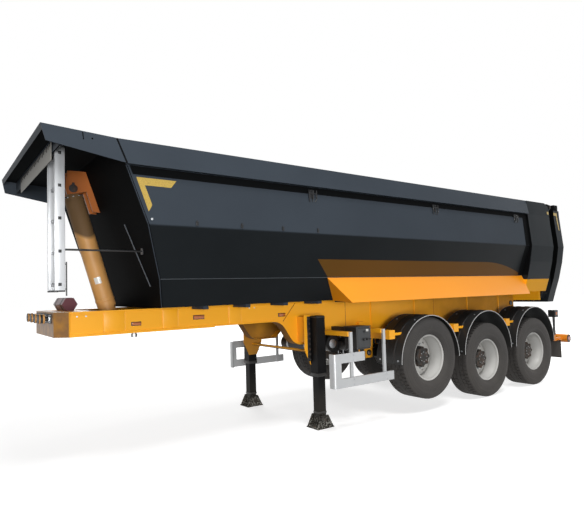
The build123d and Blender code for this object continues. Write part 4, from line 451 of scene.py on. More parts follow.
def block(shape, low, high, edge=0.0):
    """A box between two corners, with rounded edges."""
    low, high = Vector(low), Vector(high)
    place = Matrix.Translation((low + high) / 2) @ Matrix.Diagonal((*(high - low), 1))
    soften(shape, bmesh.ops.create_cube(shape, size=1, matrix=place)["verts"], edge)


def bar(shape, start, end, width, height, across=Y, edge=0.0):
    """A square bar between two points: its width lies along across, its height square to that."""
    start, end = Vector(start), Vector(end)
    along = (end - start).normalized()
    side = (across - along * along.dot(across)).normalized()
    turn = Matrix((side, along.cross(side), along)).transposed().to_4x4()
    size = Matrix.Diagonal((width, height, (end - start).length, 1))
    place = Matrix.Translation((start + end) / 2) @ turn @ size
    soften(shape, bmesh.ops.create_cube(shape, size=1, matrix=place)["verts"], edge)


def rod(shape, start, reach, radius, sides=16, edge=0.0):
    """A round bar from a point along a vector, or a prism with few sides, with rounded rims."""
    start, reach = Vector(start), Vector(reach)
    place = Matrix.Translation(start + reach / 2) @ reach.to_track_quat("Z", "Y").to_matrix().to_4x4()
    size = {"radius1": radius, "radius2": radius, "depth": reach.length}
    made = bmesh.ops.create_cone(shape, cap_ends=True, segments=sides, matrix=place, **size)
    soften(shape, made["verts"], edge, rims=True)


def turned(shape, outline, centre, axis, steps, angle=2 * pi, start=None, closed=True):
    """An outline of (along the axis, radius) points turned about an axis, in full or in part."""
    axis = Vector(axis).normalized()
    out = Vector(start) if start else axis.orthogonal().normalized()
    corners = [shape.verts.new(Vector(centre) + axis * along + out * radius) for along, radius in outline]
    lines = [shape.edges.new(pair) for pair in zip(corners, corners[1:])]
    if closed:
        lines.append(shape.edges.new((corners[-1], corners[0])))
    full = angle == 2 * pi
    geometry = corners + lines
    if closed and not full:
        geometry.append(shape.faces.new(corners))
    bmesh.ops.spin(shape, geom=geometry, cent=centre, axis=axis, angle=angle, steps=steps, use_merge=full)
    bmesh.ops.remove_doubles(shape, verts=shape.verts[:], dist=1e-5)


def ring(shape, low, high, inner, outer, centre, axis, steps, **turn):
    """A ring of square section, between two places along its axis and two radii."""
    turned(shape, [(low, inner), (low, outer), (high, outer), (high, inner)], centre, axis, steps, **turn)


def plate(shape, outline, depth):
    """A flat outline of points given a depth along a vector."""
    face = shape.faces.new([shape.verts.new(corner) for corner in outline])
    swept = bmesh.ops.extrude_face_region(shape, geom=[face])["geom"]
    corners = [item for item in swept if isinstance(item, bmesh.types.BMVert)]
    bmesh.ops.translate(shape, vec=depth, verts=corners)


def middle(node):
    """Centre of a node's box."""
    low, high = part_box(node)
    return (Vector(low) + Vector(high)) / 2


def piece(name, shape, body, finish, crease=35):
    """A finished shape as an object, with its finish and the body that carries it."""
    bmesh.ops.recalc_face_normals(shape, faces=shape.faces[:])
    mesh = bpy.data.meshes.new(name)
    shape.to_mesh(mesh)
    shape.free()
    mesh.shade_smooth()
    mesh.set_sharp_from_angle(angle=radians(crease))
    mesh.materials.append(finish)
    made = bpy.data.objects.new(name, mesh)
    bpy.context.scene.collection.objects.link(made)
    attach(made, body)
    return made


def pieces(body, *parts):
    """Pieces of one body with their mirror image, each given as its shape, name, slot and finish."""
    made = []
    for shape, name, slot, finish in parts:
        half = shape.verts[:] + shape.edges[:] + shape.faces[:]
        bmesh.ops.mirror(shape, geom=half, axis="Y", merge_dist=1e-6)
        made.append(piece(name, shape, body, finish))
    return made


# ================================================================ tyres and wheels
# the templates are made for the left side, about the origin
OUTWARD = -Y
TYRE_STEPS, RIM_STEPS, HUB_STEPS = 180, 120, 60
HAND_HOLES = STUDS = 10
LOBES = 8

tyre_wall = [   # across the tyre from its middle, radius
    (0.03, 0.536), (0.0325, 0.524), (0.0375, 0.524), (0.04, 0.536), (0.094, 0.536), (0.0965, 0.524),
    (0.1035, 0.524), (0.106, 0.536), (0.15, 0.5345), (0.162, 0.53), (0.172, 0.519), (0.177, 0.505),
    (0.1775, 0.498), (0.182, 0.494), (0.187, 0.474), (0.1875, 0.469), (0.1895, 0.466), (0.1905, 0.462),
    (0.19, 0.456), (0.1912, 0.44), (0.1922, 0.418), (0.1915, 0.398), (0.189, 0.376), (0.1865, 0.363),
    (0.1868, 0.358), (0.185, 0.354), (0.179, 0.34), (0.1715, 0.326), (0.169, 0.3235), (0.163, 0.313),
    (0.156, 0.3055), (0.1505, 0.3015), (0.1415, 0.3012), (0.1395, 0.2861),
]
rim_section = [  # along the axis outwards, radius: flanges, bead seats and drop centre, then the inside
    (0.149, 0.2985), (0.1468, 0.3005), (0.1425, 0.2995), (0.1392, 0.2875), (0.138, 0.2857), (0.09, 0.2835),
    (0.072, 0.264), (-0.028, 0.264), (-0.048, 0.2835), (-0.138, 0.2857), (-0.1392, 0.2875),
    (-0.1425, 0.2995), (-0.1468, 0.3005), (-0.149, 0.2985), (-0.1475, 0.293), (-0.142, 0.28),
    (-0.134, 0.278), (-0.052, 0.2765), (-0.038, 0.258), (0.074, 0.257), (0.096, 0.2765),
    (0.134, 0.2785), (0.141, 0.28), (0.1468, 0.2925),
]
disc_line = [
    (-0.075, 0.09), (-0.075, 0.19), (-0.0765, 0.206), (-0.079, 0.232), (-0.086, 0.248), (-0.093, 0.278),
]
hub_section = [
    (0.04, 0), (0.04, 0.0405), (-0.089, 0.0405), (-0.089, 0.132), (-0.074, 0.132), (-0.07, 0.128),
    (-0.068, 0.116), (-0.062, 0.112), (0.02, 0.108), (0.026, 0.116), (0.029, 0.119), (0.04, 0.119),
    (0.043, 0.116), (0.045, 0.086), (0.047, 0.08), (0.056, 0.076), (0.0595, 0.066), (0.06, 0),
]
drum_section = [
    (-0.22, 0.09), (-0.22, 0.198), (-0.214, 0.208), (-0.2, 0.2095), (-0.195, 0.204),
    (-0.186, 0.204), (-0.181, 0.2095), (-0.156, 0.2095), (-0.151, 0.204), (-0.142, 0.204),
    (-0.137, 0.2095), (-0.106, 0.206), (-0.097, 0.19), (-0.0895, 0.185), (-0.0895, 0.1),
    (-0.11, 0.09),
]


def step_of(face, steps):
    """Which step of a full turn about Y a face belongs to."""
    spot = face.calc_center_median()
    return int((atan2(spot.x, spot.z) % (2 * pi)) / (2 * pi) * steps)


def band(shape, low, high, radius_low, radius_high):
    """Faces whose middle lies between two distances from the wheel's middle and between two radii."""
    spots = [(face, face.calc_center_median()) for face in shape.faces]
    level = [(face, hypot(spot.x, spot.z)) for face, spot in spots if low < abs(spot.y) < high]
    return [face for face, radius in level if radius_low < radius < radius_high]


def on_circle(place, count, radius):
    """A place on a circle about the axle, counted from the top."""
    turn = place * 2 * pi / count
    return Vector((sin(turn), 0, cos(turn))) * radius


tyre, rim, disc, hub, nuts = shapes(5)
both_walls = tyre_wall + [(-across, radius) for across, radius in reversed(tyre_wall)]
turned(tyre, both_walls, (0, 0, 0), OUTWARD, TYRE_STEPS, start=Z)
bmesh.ops.recalc_face_normals(tyre, faces=tyre.faces[:])
shoulder = [face for face in band(tyre, 0.108, 0.162, 0.5305, 0.537) if step_of(face, TYRE_STEPS) % 3 == 0]
bmesh.ops.inset_region(tyre, faces=shoulder, thickness=0.0015, depth=-0.011, use_even_offset=True)
sipes = [face for face in band(tyre, 0.041, 0.093, 0.535, 0.537) if step_of(face, TYRE_STEPS) % 4 == 1]
bmesh.ops.inset_individual(tyre, faces=sipes, thickness=0.006, depth=-0.008, use_even_offset=True)
flex_ribs = [face for face in band(tyre, 0.188, 0.193, 0.38, 0.435) if step_of(face, TYRE_STEPS) % 2]
bmesh.ops.inset_individual(tyre, faces=flex_ribs, thickness=0.002, depth=-0.0015, use_even_offset=True)

turned(rim, rim_section, (0, 0, 0), OUTWARD, RIM_STEPS, start=Z)
rod(rim, (0, -0.085, 0.2705), (0, -0.033, -0.0105), 0.0035, 8)     # tyre valve and its cap
rod(rim, (0, -0.112, 0.2618), (0, -0.012, -0.0038), 0.0055, 8)

turned(disc, disc_line, (0, 0, 0), OUTWARD, HUB_STEPS, start=Z, closed=False)
for first in range(0, HUB_STEPS, HUB_STEPS // HAND_HOLES):     # a hand hole is two steps wide
    flat = band(disc, 0.06, 0.09, 0.207, 0.231)
    facets = [face for face in flat if step_of(face, HUB_STEPS) in (first, first + 1)]
    opening = bmesh.ops.dissolve_faces(disc, faces=facets)["region"]
    bmesh.ops.inset_individual(disc, faces=opening, thickness=0.002)
    corners = list(opening[0].verts)
    bmesh.ops.bevel(disc, geom=corners, offset=0.009, affect="VERTICES", segments=3, profile=0.5, material=-1)
    rounded = [face for face in disc.faces if len(face.verts) > 8]
    bmesh.ops.delete(disc, geom=[max(rounded, key=lambda face: face.calc_area())], context="FACES")
bmesh.ops.recalc_face_normals(disc, faces=disc.faces[:])
bmesh.ops.solidify(disc, geom=disc.faces[:], thickness=0.014)

turned(hub, hub_section, (0, 0, 0), OUTWARD, HUB_STEPS, start=Z, closed=False)
turned(hub, drum_section, (0, 0, 0), OUTWARD, HUB_STEPS, start=Z)
for lobe in range(LOBES):
    spot = on_circle(lobe, LOBES, 0.112)
    rod(hub, spot + Y * 0.06, Y * -0.106, 0.026, 14, 0.004)
    rod(hub, spot - Y * 0.045, Y * -0.007, 0.012, 6)
    rod(nuts, on_circle(lobe, LOBES, 0.064) - Y * 0.056, Y * -0.0038, 0.0065, 6)
for stud in range(STUDS):
    spot = on_circle(stud + 0.5, STUDS, 0.1675)
    rod(nuts, spot + Y * 0.0755, Y * -0.004, 0.021, 14)
    rod(nuts, spot + Y * 0.072, Y * -0.024, 0.0165, 6, 0.0015)
    rod(nuts, spot + Y * 0.049, Y * -0.015, 0.01, 10, 0.001)

for axle in AXLES:
    for side_name, side in SIDES.items():
        node, wheel = f"tyre_{axle}_{side_name}", f"wheel_{axle}_{side_name}"
        place_there = Matrix.Translation(middle(node)) @ Matrix.Rotation(0 if side < 0 else pi, 4, "Z")
        made = {}
        for name, template, slot, finish, crease in (
            ("tread", tyre, "tyre_rubber", tyre_rubber, 32), ("rim", rim, "wheel_silver", wheel_paint, 50),
            ("disc", disc, "wheel_silver", wheel_paint, 40), ("hub", hub, "black_paint", hub_iron, 30),
            ("nuts", nuts, "machined_steel", zinc, 30),
        ):
            shape = template.copy()
            bmesh.ops.transform(shape, matrix=place_there, verts=shape.verts[:])
            made[name] = piece(f"{name}_{axle}_{side_name}", shape, wheel, finish, crease)
        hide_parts(node)
        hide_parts(wheel)
for template in (tyre, rim, disc, hub, nuts):
    template.free()


# ================================================================ mudguards
guard_low, guard_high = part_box("mudguards_left")
GUARD_CENTRE_Z, GUARD_OUTER_Y, GUARD_INNER_Y = guard_low[2], -guard_low[1], -guard_high[1]
GUARD_RADIUS = guard_high[2] - guard_low[2]     # over the sheet
LIP_RADIUS, LIP_DEPTH = GUARD_RADIUS - 0.004, 0.106     # of the splash lip, which hangs beside the tyre
AXLE_XS = [middle(f"tyre_{axle}_left").x for axle in AXLES]

edging, beads, bolts = shapes(3)
folded_strip = [
    (-0.001, -0.001), (0.003, -0.001), (0.004, -0.003), (0.004, -0.009), (0.003, -0.011), (-0.001, -0.011),
]
inner_strip = [(0, 0), (0, 0.006), (0.008, 0.006), (0.01, 0)]
pressed_bead = [(0, 0), (0.008, 0.005), (0.022, 0.005), (0.03, 0)]
for x in AXLE_XS:
    centre = (x, 0, GUARD_CENTRE_Z)
    for shape, across, section, steps in (      # half rings that follow the sheet
        (edging, GUARD_OUTER_Y, folded_strip, 64), (beads, GUARD_INNER_Y, inner_strip, 48),
        (beads, GUARD_INNER_Y + 0.13, pressed_bead, 48), (beads, GUARD_INNER_Y + 0.27, pressed_bead, 48),
    ):
        outline = [(across + out, GUARD_RADIUS + rise) for out, rise in section]
        turned(shape, outline, centre, OUTWARD, steps, angle=pi, start=X)
    lip = (GUARD_INNER_Y, GUARD_INNER_Y + 0.005, LIP_RADIUS - LIP_DEPTH, LIP_RADIUS)
    ring(beads, *lip, centre, OUTWARD, 48, angle=pi, start=X)
    for angle in (0.07, pi / 2 - 0.42, pi / 2 + 0.42, pi - 0.07):
        out = Vector((cos(angle), 0, sin(angle)))
        for across in (GUARD_INNER_Y + 0.06, GUARD_OUTER_Y - 0.06):
            foot = Vector((x, -across, GUARD_CENTRE_Z)) + out * GUARD_RADIUS
            rod(bolts, foot, out * 0.002, 0.012, 12)
            rod(bolts, foot + out * 0.002, out * 0.006, 0.008, 6)
pieces(
    "chassis",
    (edging, "mudguard_edging", None, trim_plastic), (beads, "mudguard_beads", "black_plastic", plastic),
    (bolts, "mudguard_bolts", "machined_steel", zinc),
)


# ================================================================ suspension and running gear
BEAM_Y = -middle("chassis_beam_right").y
ARM_PIVOT_Z = 0.76
SPRING_TOP_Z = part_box("air_springs")[1][2]
CUP_Z = SPRING_TOP_Z - 0.008        # lower edge of the top plates' rim
# where the bellows stand; the front axle is raised
SEATS = {"front": 0.879, "middle": 0.639, "rear": 0.639}

bellows, pistons, cups = shapes(3)
for axle, x in zip(AXLES, AXLE_XS):
    seat, centre = SEATS[axle], (x + 0.35, BEAM_Y, 0)
    roll = seat + 0.02         # where the rubber rolls over the piston
    if axle != "front":
        roll = seat + 0.135
        piston = [(seat, 0), (seat, 0.08), (seat + 0.01, 0.086), (roll + 0.06, 0.098), (roll + 0.06, 0)]
        turned(pistons, piston, centre, Z, 40, closed=False)
    bag = [
        (roll + 0.055, 0.09), (roll + 0.012, 0.098), (roll, 0.11), (roll + 0.012, 0.123),
        (roll + 0.045, 0.129), ((roll + CUP_Z) / 2, 0.1295), (CUP_Z - 0.045, 0.129), (CUP_Z - 0.012, 0.121),
        (CUP_Z, 0.104), (CUP_Z, 0.09),
    ]
    turned(bellows, bag, centre, Z, 40)
    cup = [
        (CUP_Z - 0.004, 0), (CUP_Z - 0.004, 0.108), (CUP_Z, 0.112), (SPRING_TOP_Z, 0.112), (SPRING_TOP_Z, 0),
    ]
    turned(cups, cup, centre, Z, 40, closed=False)
made = pieces(
    "chassis",
    (bellows, "spring_bellows", "air_spring_rubber", rubber),
    (pistons, "spring_pistons", "black_plastic", plastic),
    (cups, "spring_top_plates", "black_paint", black_paint),
)
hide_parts("air_springs")


def at(along, across, up):
    """A point measured from the middle of the axle that is being fitted."""
    return axle_middle + Vector((along, across, up))


clamps, gear, dampers, polished = shapes(4)
for axle, x in zip(AXLES, AXLE_XS):
    axle_middle = Vector((x, 0, middle(f"tyre_{axle}_left").z))
    for along in (-0.082, 0.082):               # U-bolts either side of each trailing arm
        for across in (BEAM_Y - 0.058, BEAM_Y + 0.058):
            rod(clamps, at(along, across, -0.105), Z * 0.21, 0.011, 10)
            rod(clamps, at(along, across, 0.098), Z * 0.018, 0.018, 6)
    for low, high in ((0.074, 0.098), (-0.104, -0.082)):
        block(gear, at(-0.105, BEAM_Y - 0.078, low), at(0.105, BEAM_Y + 0.078, high), 0.004)
    # brake chamber with its clamp ring and push rod, in front of the axle tube
    mount, back = at(-0.15, -0.27, 0.07), Vector((1, 0, -0.12)).normalized()
    rod(gear, mount - back * 0.13, back * 0.14, 0.068, 28, 0.012)
    rod(gear, mount - back * 0.052, back * 0.022, 0.078, 28, 0.003)
    rod(polished, mount, back * 0.12, 0.009, 10)
    bar(gear, at(0.01, -0.27, 0.02), at(-0.03, -0.27, 0.105), 0.016, 0.045, edge=0.003)
    bar(gear, at(-0.07, -0.23, 0), at(-0.15, -0.23, 0.06), 0.01, 0.06, edge=0.002)
    rod(gear, at(-0.03, -0.36, 0.085), Y * 0.24, 0.016)      # camshaft
    # damper from the arm up to the beam
    foot, head = at(0.14, -0.395, 0.03), Vector((x - 0.06, -0.395, 1.12))
    reach = head - foot
    rod(polished, foot, reach * 0.55, 0.012, 14)
    rod(dampers, foot - reach * 0.03, reach * 0.45, 0.03, 22, 0.004)
    rod(dampers, foot + reach * 0.36, reach * 0.64, 0.036, 22, 0.004)
    for end in (foot, head):
        rod(dampers, end - Y * 0.028, Y * 0.056, 0.026, 20, 0.003)
        rod(clamps, end - Y * 0.045, Y * 0.081, 0.01, 12)
    pivot = Vector((x - 0.5, BEAM_Y, ARM_PIVOT_Z))
    rod(clamps, pivot - Y * 0.08, Y * 0.16, 0.026, 6, 0.003)      # pivot bolt of the arm
    rod(gear, pivot - Y * 0.07, Y * 0.14, 0.042, 24, 0.003)
pieces(
    "chassis",
    (clamps, "axle_u_bolts", "machined_steel", zinc), (gear, "brake_chambers", "black_paint", black_paint),
    (dampers, "dampers", "black_paint", black_paint), (polished, "damper_rods", "chrome_stage", chrome),
)


# ================================================================ chassis beams
WEB_Y = -0.546                          # outer face of the left beam's web
WEB_TOP, NECK_BOTTOM = 1.476, 1.28
NECK_FRONT_X, NECK_REAR_X, TAIL_X = -3.83, -1.6, 3.6
PIPE_Y, NECK_PIPE_Z, REAR_PIPE_Z = -0.522, 1.38, 1.2

stiffeners, welds, bolts, lenses, bezels, splices, pipes, clips = shapes(8)
for start, end in ((-3.525, -3.324), (-2.934, -2.77), (-2.164, -2.009)):
    block(stiffeners, (start, WEB_Y - 0.005, NECK_BOTTOM), (end, WEB_Y, WEB_TOP - 0.001), 0.0015)
    for x in (start, end):
        rod(welds, (x, WEB_Y - 0.002, NECK_BOTTOM + 0.001), Z * 0.193, 0.0035, 8)
for x in (0.05, 0.95, 2.25, 3.15):      # upright stiffeners between the flanges, deep part of the beam
    block(stiffeners, (x - 0.005, WEB_Y - 0.013, 1.112), (x + 0.005, WEB_Y, WEB_TOP - 0.001), 0.001)
# splice welds on the web, drawn in painted shade
rod(splices, (-1.241, WEB_Y, WEB_TOP), (-0.188, 0, -0.214), 0.005, 8)
for x in (-0.42, 1.4):
    rod(splices, (x, WEB_Y, WEB_TOP), Z * -0.386, 0.004, 8)
for x, end, z in (
    (NECK_FRONT_X, NECK_REAR_X, 1.4765), (NECK_FRONT_X, NECK_REAR_X, 1.2785), (NECK_REAR_X, TAIL_X, 1.4765),
):
    rod(welds, (x, WEB_Y, z), X * (end - x), 0.003, 8)
for start, end, low, high in (          # side marker lamps
    (-3.265, -3.165, 1.326, 1.366), (-2.6, -2.471, 1.35, 1.398), (-1.5, -1.395, 1.322, 1.365),
):
    rim = Vector((0.006, 0, 0.006))
    foot, head = Vector((start, WEB_Y, low)), Vector((end, WEB_Y, high))
    block(bezels, foot - Y * 0.01, head, 0.003)
    block(lenses, foot + rim - Y * 0.017, head - rim - Y * 0.008, 0.004)
for x in (-3.77, -3.69, -1.9, -1.83):   # bolts of the pipe rail below the flange
    rod(bolts, (x, WEB_Y, 1.445), Y * -0.006, 0.008, 6)
# two rigid air pipes and a cable conduit, clipped to the inner side of the web
for rise, radius in ((0.0, 0.009), (0.026, 0.009), (0.055, 0.012)):
    rod(pipes, (-3.8, PIPE_Y, NECK_PIPE_Z + rise), X * 2.3, radius, 10)
    rod(pipes, (-1.5, PIPE_Y, NECK_PIPE_Z + rise), (0.45, 0, REAR_PIPE_Z - NECK_PIPE_Z), radius, 10)
    rod(pipes, (-1.05, PIPE_Y, REAR_PIPE_Z + rise), X * 4.5, radius, 10)
for first, pitch, count, z in ((-3.6, 0.5, 5, NECK_PIPE_Z), (-0.9, 0.55, 8, REAR_PIPE_Z)):
    for x in (first + pitch * clip for clip in range(count)):
        block(clips, (x - 0.012, PIPE_Y - 0.012, z - 0.016), (x + 0.012, PIPE_Y + 0.014, z + 0.074), 0.004)
pieces(
    "chassis",
    (splices, "beam_splice_welds", "chassis_yellow", splice_shade_paint),
    (stiffeners, "beam_stiffeners", "chassis_yellow", chassis_paint),
    (welds, "beam_welds", "chassis_yellow", chassis_paint),
    (bolts, "beam_bolts", "machined_steel", zinc), (bezels, "side_marker_bezels", "black_plastic", plastic),
    (lenses, "side_marker_lenses", None, amber_lens), (pipes, "air_pipes", "black_plastic", plastic),
    (clips, "air_pipe_clips", "black_plastic", plastic),
)

(bolts,) = shapes(1)
for turn in (place * pi / 4 + 0.39 for place in range(8)):
    spot = Vector((middle("kingpin").x, 0, 1.2548)) + (X * cos(turn) + Y * sin(turn)) * 0.08
    rod(bolts, spot, Z * -0.002, 0.0085, 12)
piece("kingpin_bolts", bolts, "chassis", steel)


# ================================================================ nose: supply couplings and document tube
BOARD_X, COUPLING_Z = -3.9583, 1.43
collars, rings, seals, straps = shapes(4)
for y in (-0.3, -0.1, 0.1, 0.3):
    foot = Vector((BOARD_X, y, COUPLING_Z))
    rod(rings, foot + X * 0.001, X * -0.013, 0.034, 6, 0.002)
    for dy, dz in ((-0.03, -0.03), (0.03, -0.03), (-0.03, 0.03), (0.03, 0.03)):
        rod(rings, foot + Y * dy + Z * dz, X * -0.006, 0.005, 6)
    rod(seals, foot - X * 0.0985, X * -0.0013, 0.03, 24)
    ring(collars, 0.046, 0.062, 0.0425, 0.0445, foot, -X, 28)
    ring(collars, 0.084, 0.096, 0.0425, 0.044, foot, -X, 28)
tube_low, tube_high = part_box("tool_box")
tube_middle = middle("tool_box")
tube_radius = (tube_high[2] - tube_low[2]) / 2 / cos(pi / 6)    # to the corners of its six sides
for y in (0.05, 0.29):
    ring(straps, 0, 0.03, tube_radius, tube_radius + 0.003, (tube_middle.x, y, tube_middle.z), Y, 6, start=X)
piece("coupling_rings", rings, "chassis", zinc)
piece("coupling_collars", collars, "chassis", gold_paint)
piece("coupling_seals", seals, "chassis", red_lens)
piece("tube_straps", straps, "chassis", black_paint)


# ================================================================ access ladder
LADDER_FRONT_X, LADDER_REAR_X, LADDER_FOOT_Z, LADDER_TOP_Z = -4.03, -3.945, 1.68, 2.998
NEAR_STILE_Y, FAR_STILE_Y = -0.89, -0.61
stiles, rungs, plugs, stays = shapes(4)
for y, web_y in ((NEAR_STILE_Y, -0.9005), (FAR_STILE_Y, -0.5995)):     # channels, open towards each other
    for x, end_x, low_y, high_y in (
        (LADDER_FRONT_X, LADDER_REAR_X, web_y - 0.0015, web_y + 0.0015),
        (LADDER_FRONT_X, LADDER_FRONT_X + 0.004, y - 0.012, y + 0.012),
        (LADDER_REAR_X - 0.004, LADDER_REAR_X, y - 0.012, y + 0.012),
    ):
        block(stiles, (x, low_y, LADDER_FOOT_Z), (end_x, high_y, LADDER_TOP_Z), 0.001)
    block(plugs, (LADDER_FRONT_X - 0.001, y - 0.013, 1.676), (LADDER_REAR_X + 0.001, y + 0.013, 1.69), 0.003)
for z in (1.74 + 0.285 * rung for rung in range(5)):
    block(rungs, (-4.0015, -0.9005, z - 0.014), (-3.9735, -0.5995, z + 0.014), 0.004)
    for x in (-3.9965, -3.9905, -3.9845, -3.9785):      # grip ribs
        rod(rungs, (x, -0.876, z + 0.014), Y * 0.252, 0.0015, 6)
    block(plugs, (-4.001, -0.9035, z - 0.0135), (-3.974, -0.9005, z + 0.0135), 0.001)
# a stay back to its plate on the front wall, and a bar on clips behind the near stile
rod(stays, (LADDER_REAR_X, NEAR_STILE_Y, 2.04), X * 0.681, 0.009, 14)
block(stays, (-3.273, -0.915, 2.01), (-3.262, -0.865, 2.07), 0.002)
rod(stays, (-3.93, -0.875, 1.64), Z * 0.295, 0.006, 10)
for z in (1.7, 1.915):
    rod(stays, (-3.948, -0.882, z), (0.02, 0.007, 0), 0.005, 8)
made = piece("ladder_stiles", stiles, "tub", aluminium_up)
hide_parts("ladder")
piece("ladder_rungs", rungs, "tub", rung_aluminium_shaded)
piece("ladder_plugs", plugs, "tub", plastic)
piece("ladder_stays", stays, "tub", black_paint)


# ================================================================ hoist cylinder
FOOT, HEAD = Vector((-3.301, 0, 1.385)), Vector((-3.694, 0, 2.741))
HOIST = (HEAD - FOOT).normalized()
HOIST_FRONT = HOIST.cross(Y)
COVER_RADIUS = 0.095
collars, cap_bolts, patch, keepers = shapes(4)
for section in (        # two collars and two ridges: how far up from the foot, and how proud of the cover
    [(0.2, 0), (0.204, 0.0035), (0.226, 0.0035), (0.23, 0)],
    [(1.27, 0), (1.274, 0.003), (1.296, 0.003), (1.3, 0)],
    [(0.215, 0), (0.218, 0.002), (0.221, 0)], [(1.305, 0), (1.308, 0.002), (1.311, 0)],
):
    turned(collars, [(up, COVER_RADIUS + proud) for up, proud in section], FOOT, HOIST, 56)
for turn in (place * pi / 4 + 0.2 for place in range(8)):
    spot = FOOT + HOIST * 1.33 + (HOIST_FRONT * cos(turn) + Y * sin(turn)) * 0.078
    rod(cap_bolts, spot, HOIST * 0.008, 0.008, 6)
label = (0.4, 0.47, COVER_RADIUS + 0.0002, COVER_RADIUS + 0.0012)
ring(patch, *label, FOOT, HOIST, 14, angle=-0.7, start=(HOIST_FRONT * 0.035 - Y).normalized())
rod(keepers, HEAD - Y * 0.098, Y * -0.006, 0.042, 28, 0.002)
block(keepers, HEAD + Vector((-0.012, -0.11, 0.03)), HEAD + Vector((0.012, -0.098, 0.06)), 0.002)
piece("cylinder_collars", collars, "cylinder_cover", gold_paint)
piece("cylinder_cap_bolts", cap_bolts, "cylinder_cover", zinc)
piece("cylinder_blank_patch", patch, "cylinder_cover", plate_white)
pieces("tub", (keepers, "cylinder_head_pin_keepers", "machined_steel", hub_iron))


# ================================================================ tipping body
SHEET_REAR_X = 3.028        # where the side sheets meet the rear frame


def panel_y(z):
    """Y of the left side sheet's outer face, above the upper bend."""
    return -(1.24 - 0.0811 * (z - 2.25))


def rail_y(z):
    """Y of the left top rail's and the canopy's outer face."""
    return -(1.25 - 0.2045 * (z - 2.77))


def frame_y(z):
    """Y of the rear frame's and the tailgate's left outer face, above its widest line."""
    return -(1.225 - 0.0455 * (z - 2.77)) if z > 2.77 else -(1.275 - 0.0962 * (z - 2.25))


def front_x(z):
    """X of the front wall's outer face."""
    return -3.08 - 0.34 * (z - 1.5)


def stuck_on(shape, face_y, outline, thickness=0.0012):
    """A flat outline of (along, height) points, built up outwards on a left-hand face."""
    plate(shape, [(x, face_y(z) - 0.0003, z) for x, z in outline], Y * -thickness)


marks, gate_marks, painted_shadow, seam, beads, cuts = shapes(6)
stuck_on(marks, panel_y, [
    (-3.425, 2.669), (-3.05, 2.669), (-3.105, 2.6), (-3.35, 2.6), (-3.29, 2.425), (-3.325, 2.365),
])
stuck_on(marks, frame_y, [(3.665, 2.85), (3.665, 2.802), (3.716, 2.8), (3.716, 2.848)])
stuck_on(gate_marks, frame_y, [
    (3.885, 2.846), (3.885, 2.798), (3.962, 2.794), (3.965, 2.772), (3.998, 2.772), (4.0, 2.842),
])
stuck_on(gate_marks, frame_y, [(3.965, 2.768), (3.988, 2.545), (4.016, 2.533), (3.998, 2.768)])

# painted shadow: thin dark plates below the rail and along the rear frame's front edge, where the sheets lap
stuck_on(painted_shadow, panel_y, [
    (front_x(2.69) + 0.03, 2.69), (SHEET_REAR_X, 2.7), (SHEET_REAR_X, 2.768),
    (front_x(2.768) + 0.03, 2.768),
], 0.002)
for low, high in (      # a strip between each pair of bends, as height and face
    ((2.252, panel_y(2.252)), (2.7, panel_y(2.7))), ((1.977, -1.1406), (2.249, -1.2396)),
    ((1.772, -1.0707), (1.975, -1.1399)),
):
    corners = ((2.905, low), (SHEET_REAR_X, low), (SHEET_REAR_X, high), (2.905, high))
    plate(painted_shadow, [(x, y - 0.0005, z) for x, (z, y) in corners], Y * -0.002)
# painted shadow of the rear frame on the skirt, and on the frame's face beside the sheets
plate(painted_shadow, [(3.032, -1.1, 1.765), (3.1, -1.165, 1.7), (3.032, -1.165, 1.7)], Y * -0.002)
frame_face = [
    (-1.075, 1.775), (-1.178, 1.775), (-1.273, 2.25), (-1.226, 2.76), (-1.202, 2.76), (-1.24, 2.25),
    (-1.14, 1.975),
]
plate(painted_shadow, [(3.0295, y, z) for y, z in frame_face], X * -0.002)

# welds along the lowest fold and up the front corners, and saw cuts in the canopy
seam_x = front_x(1.77) + 0.01
rod(seam, (seam_x, -1.07, 1.77), X * (-1.15 - seam_x), 0.0025, 8)
rod(beads, (-1.15, -1.072, 1.772), X * 4.178, 0.004, 8)
for low, low_y, high, high_y in (
    (1.502, -0.881, 1.768, -1.0705), (1.772, -1.0715, 1.973, -1.14), (1.977, -1.141, 2.248, -1.24),
    (2.252, -1.2405, 2.765, panel_y(2.765)),
):
    start, end = Vector((front_x(low), low_y, low)), Vector((front_x(high), high_y, high))
    rod(beads, start, end - start, 0.0045, 8)
# the saw cuts are dark bars: painted shade in the slits
for low, low_x, high, high_x, width, height in (
    (2.772, front_x(2.772) - 0.004, 2.985, front_x(2.985) - 0.004, 0.016, 0.002),
    (2.932, -3.866, 2.998, -3.87, 0.009, 0.0025),
):
    bar(cuts, (high_x, rail_y(high), high), (low_x, rail_y(low), low), width, height, across=X)
rod(cuts, (-3.795, rail_y(2.95) + 0.001, 2.95), Y * -0.0025, 0.008, 12)

# rope hooks under the rail, tabs along the upper bend and a stud by the front corner
hooks, tabs, studs = shapes(3)
for x in (-1.45, 0.68, 2.69):
    y = panel_y(2.68)
    block(hooks, (x - 0.03, y - 0.006, 2.64), (x + 0.03, y + 0.004, 2.74), 0.003)
    for dx in (-0.052, 0.0, 0.052):
        rod(hooks, (x + dx, y - 0.012, 2.735), (0, -0.004, -0.095), 0.0065, 10)
        rod(hooks, (x + dx, y - 0.016, 2.642), (-0.3 * dx, 0.01, -0.036), 0.0065, 10)
    rod(hooks, (x - 0.06, y - 0.01, 2.7), X * 0.12, 0.007, 10)
for x in (-2.865, -2.379, -1.881, -1.408):
    block(tabs, (x - 0.013, panel_y(2.285) - 0.01, 2.262), (x + 0.013, panel_y(2.285) + 0.003, 2.302), 0.002)
    rod(tabs, (x, panel_y(2.31), 2.308), Y * -0.006, 0.006, 8)
rod(studs, (-3.298, -1.235, 2.299), Y * -0.0035, 0.011, 20)
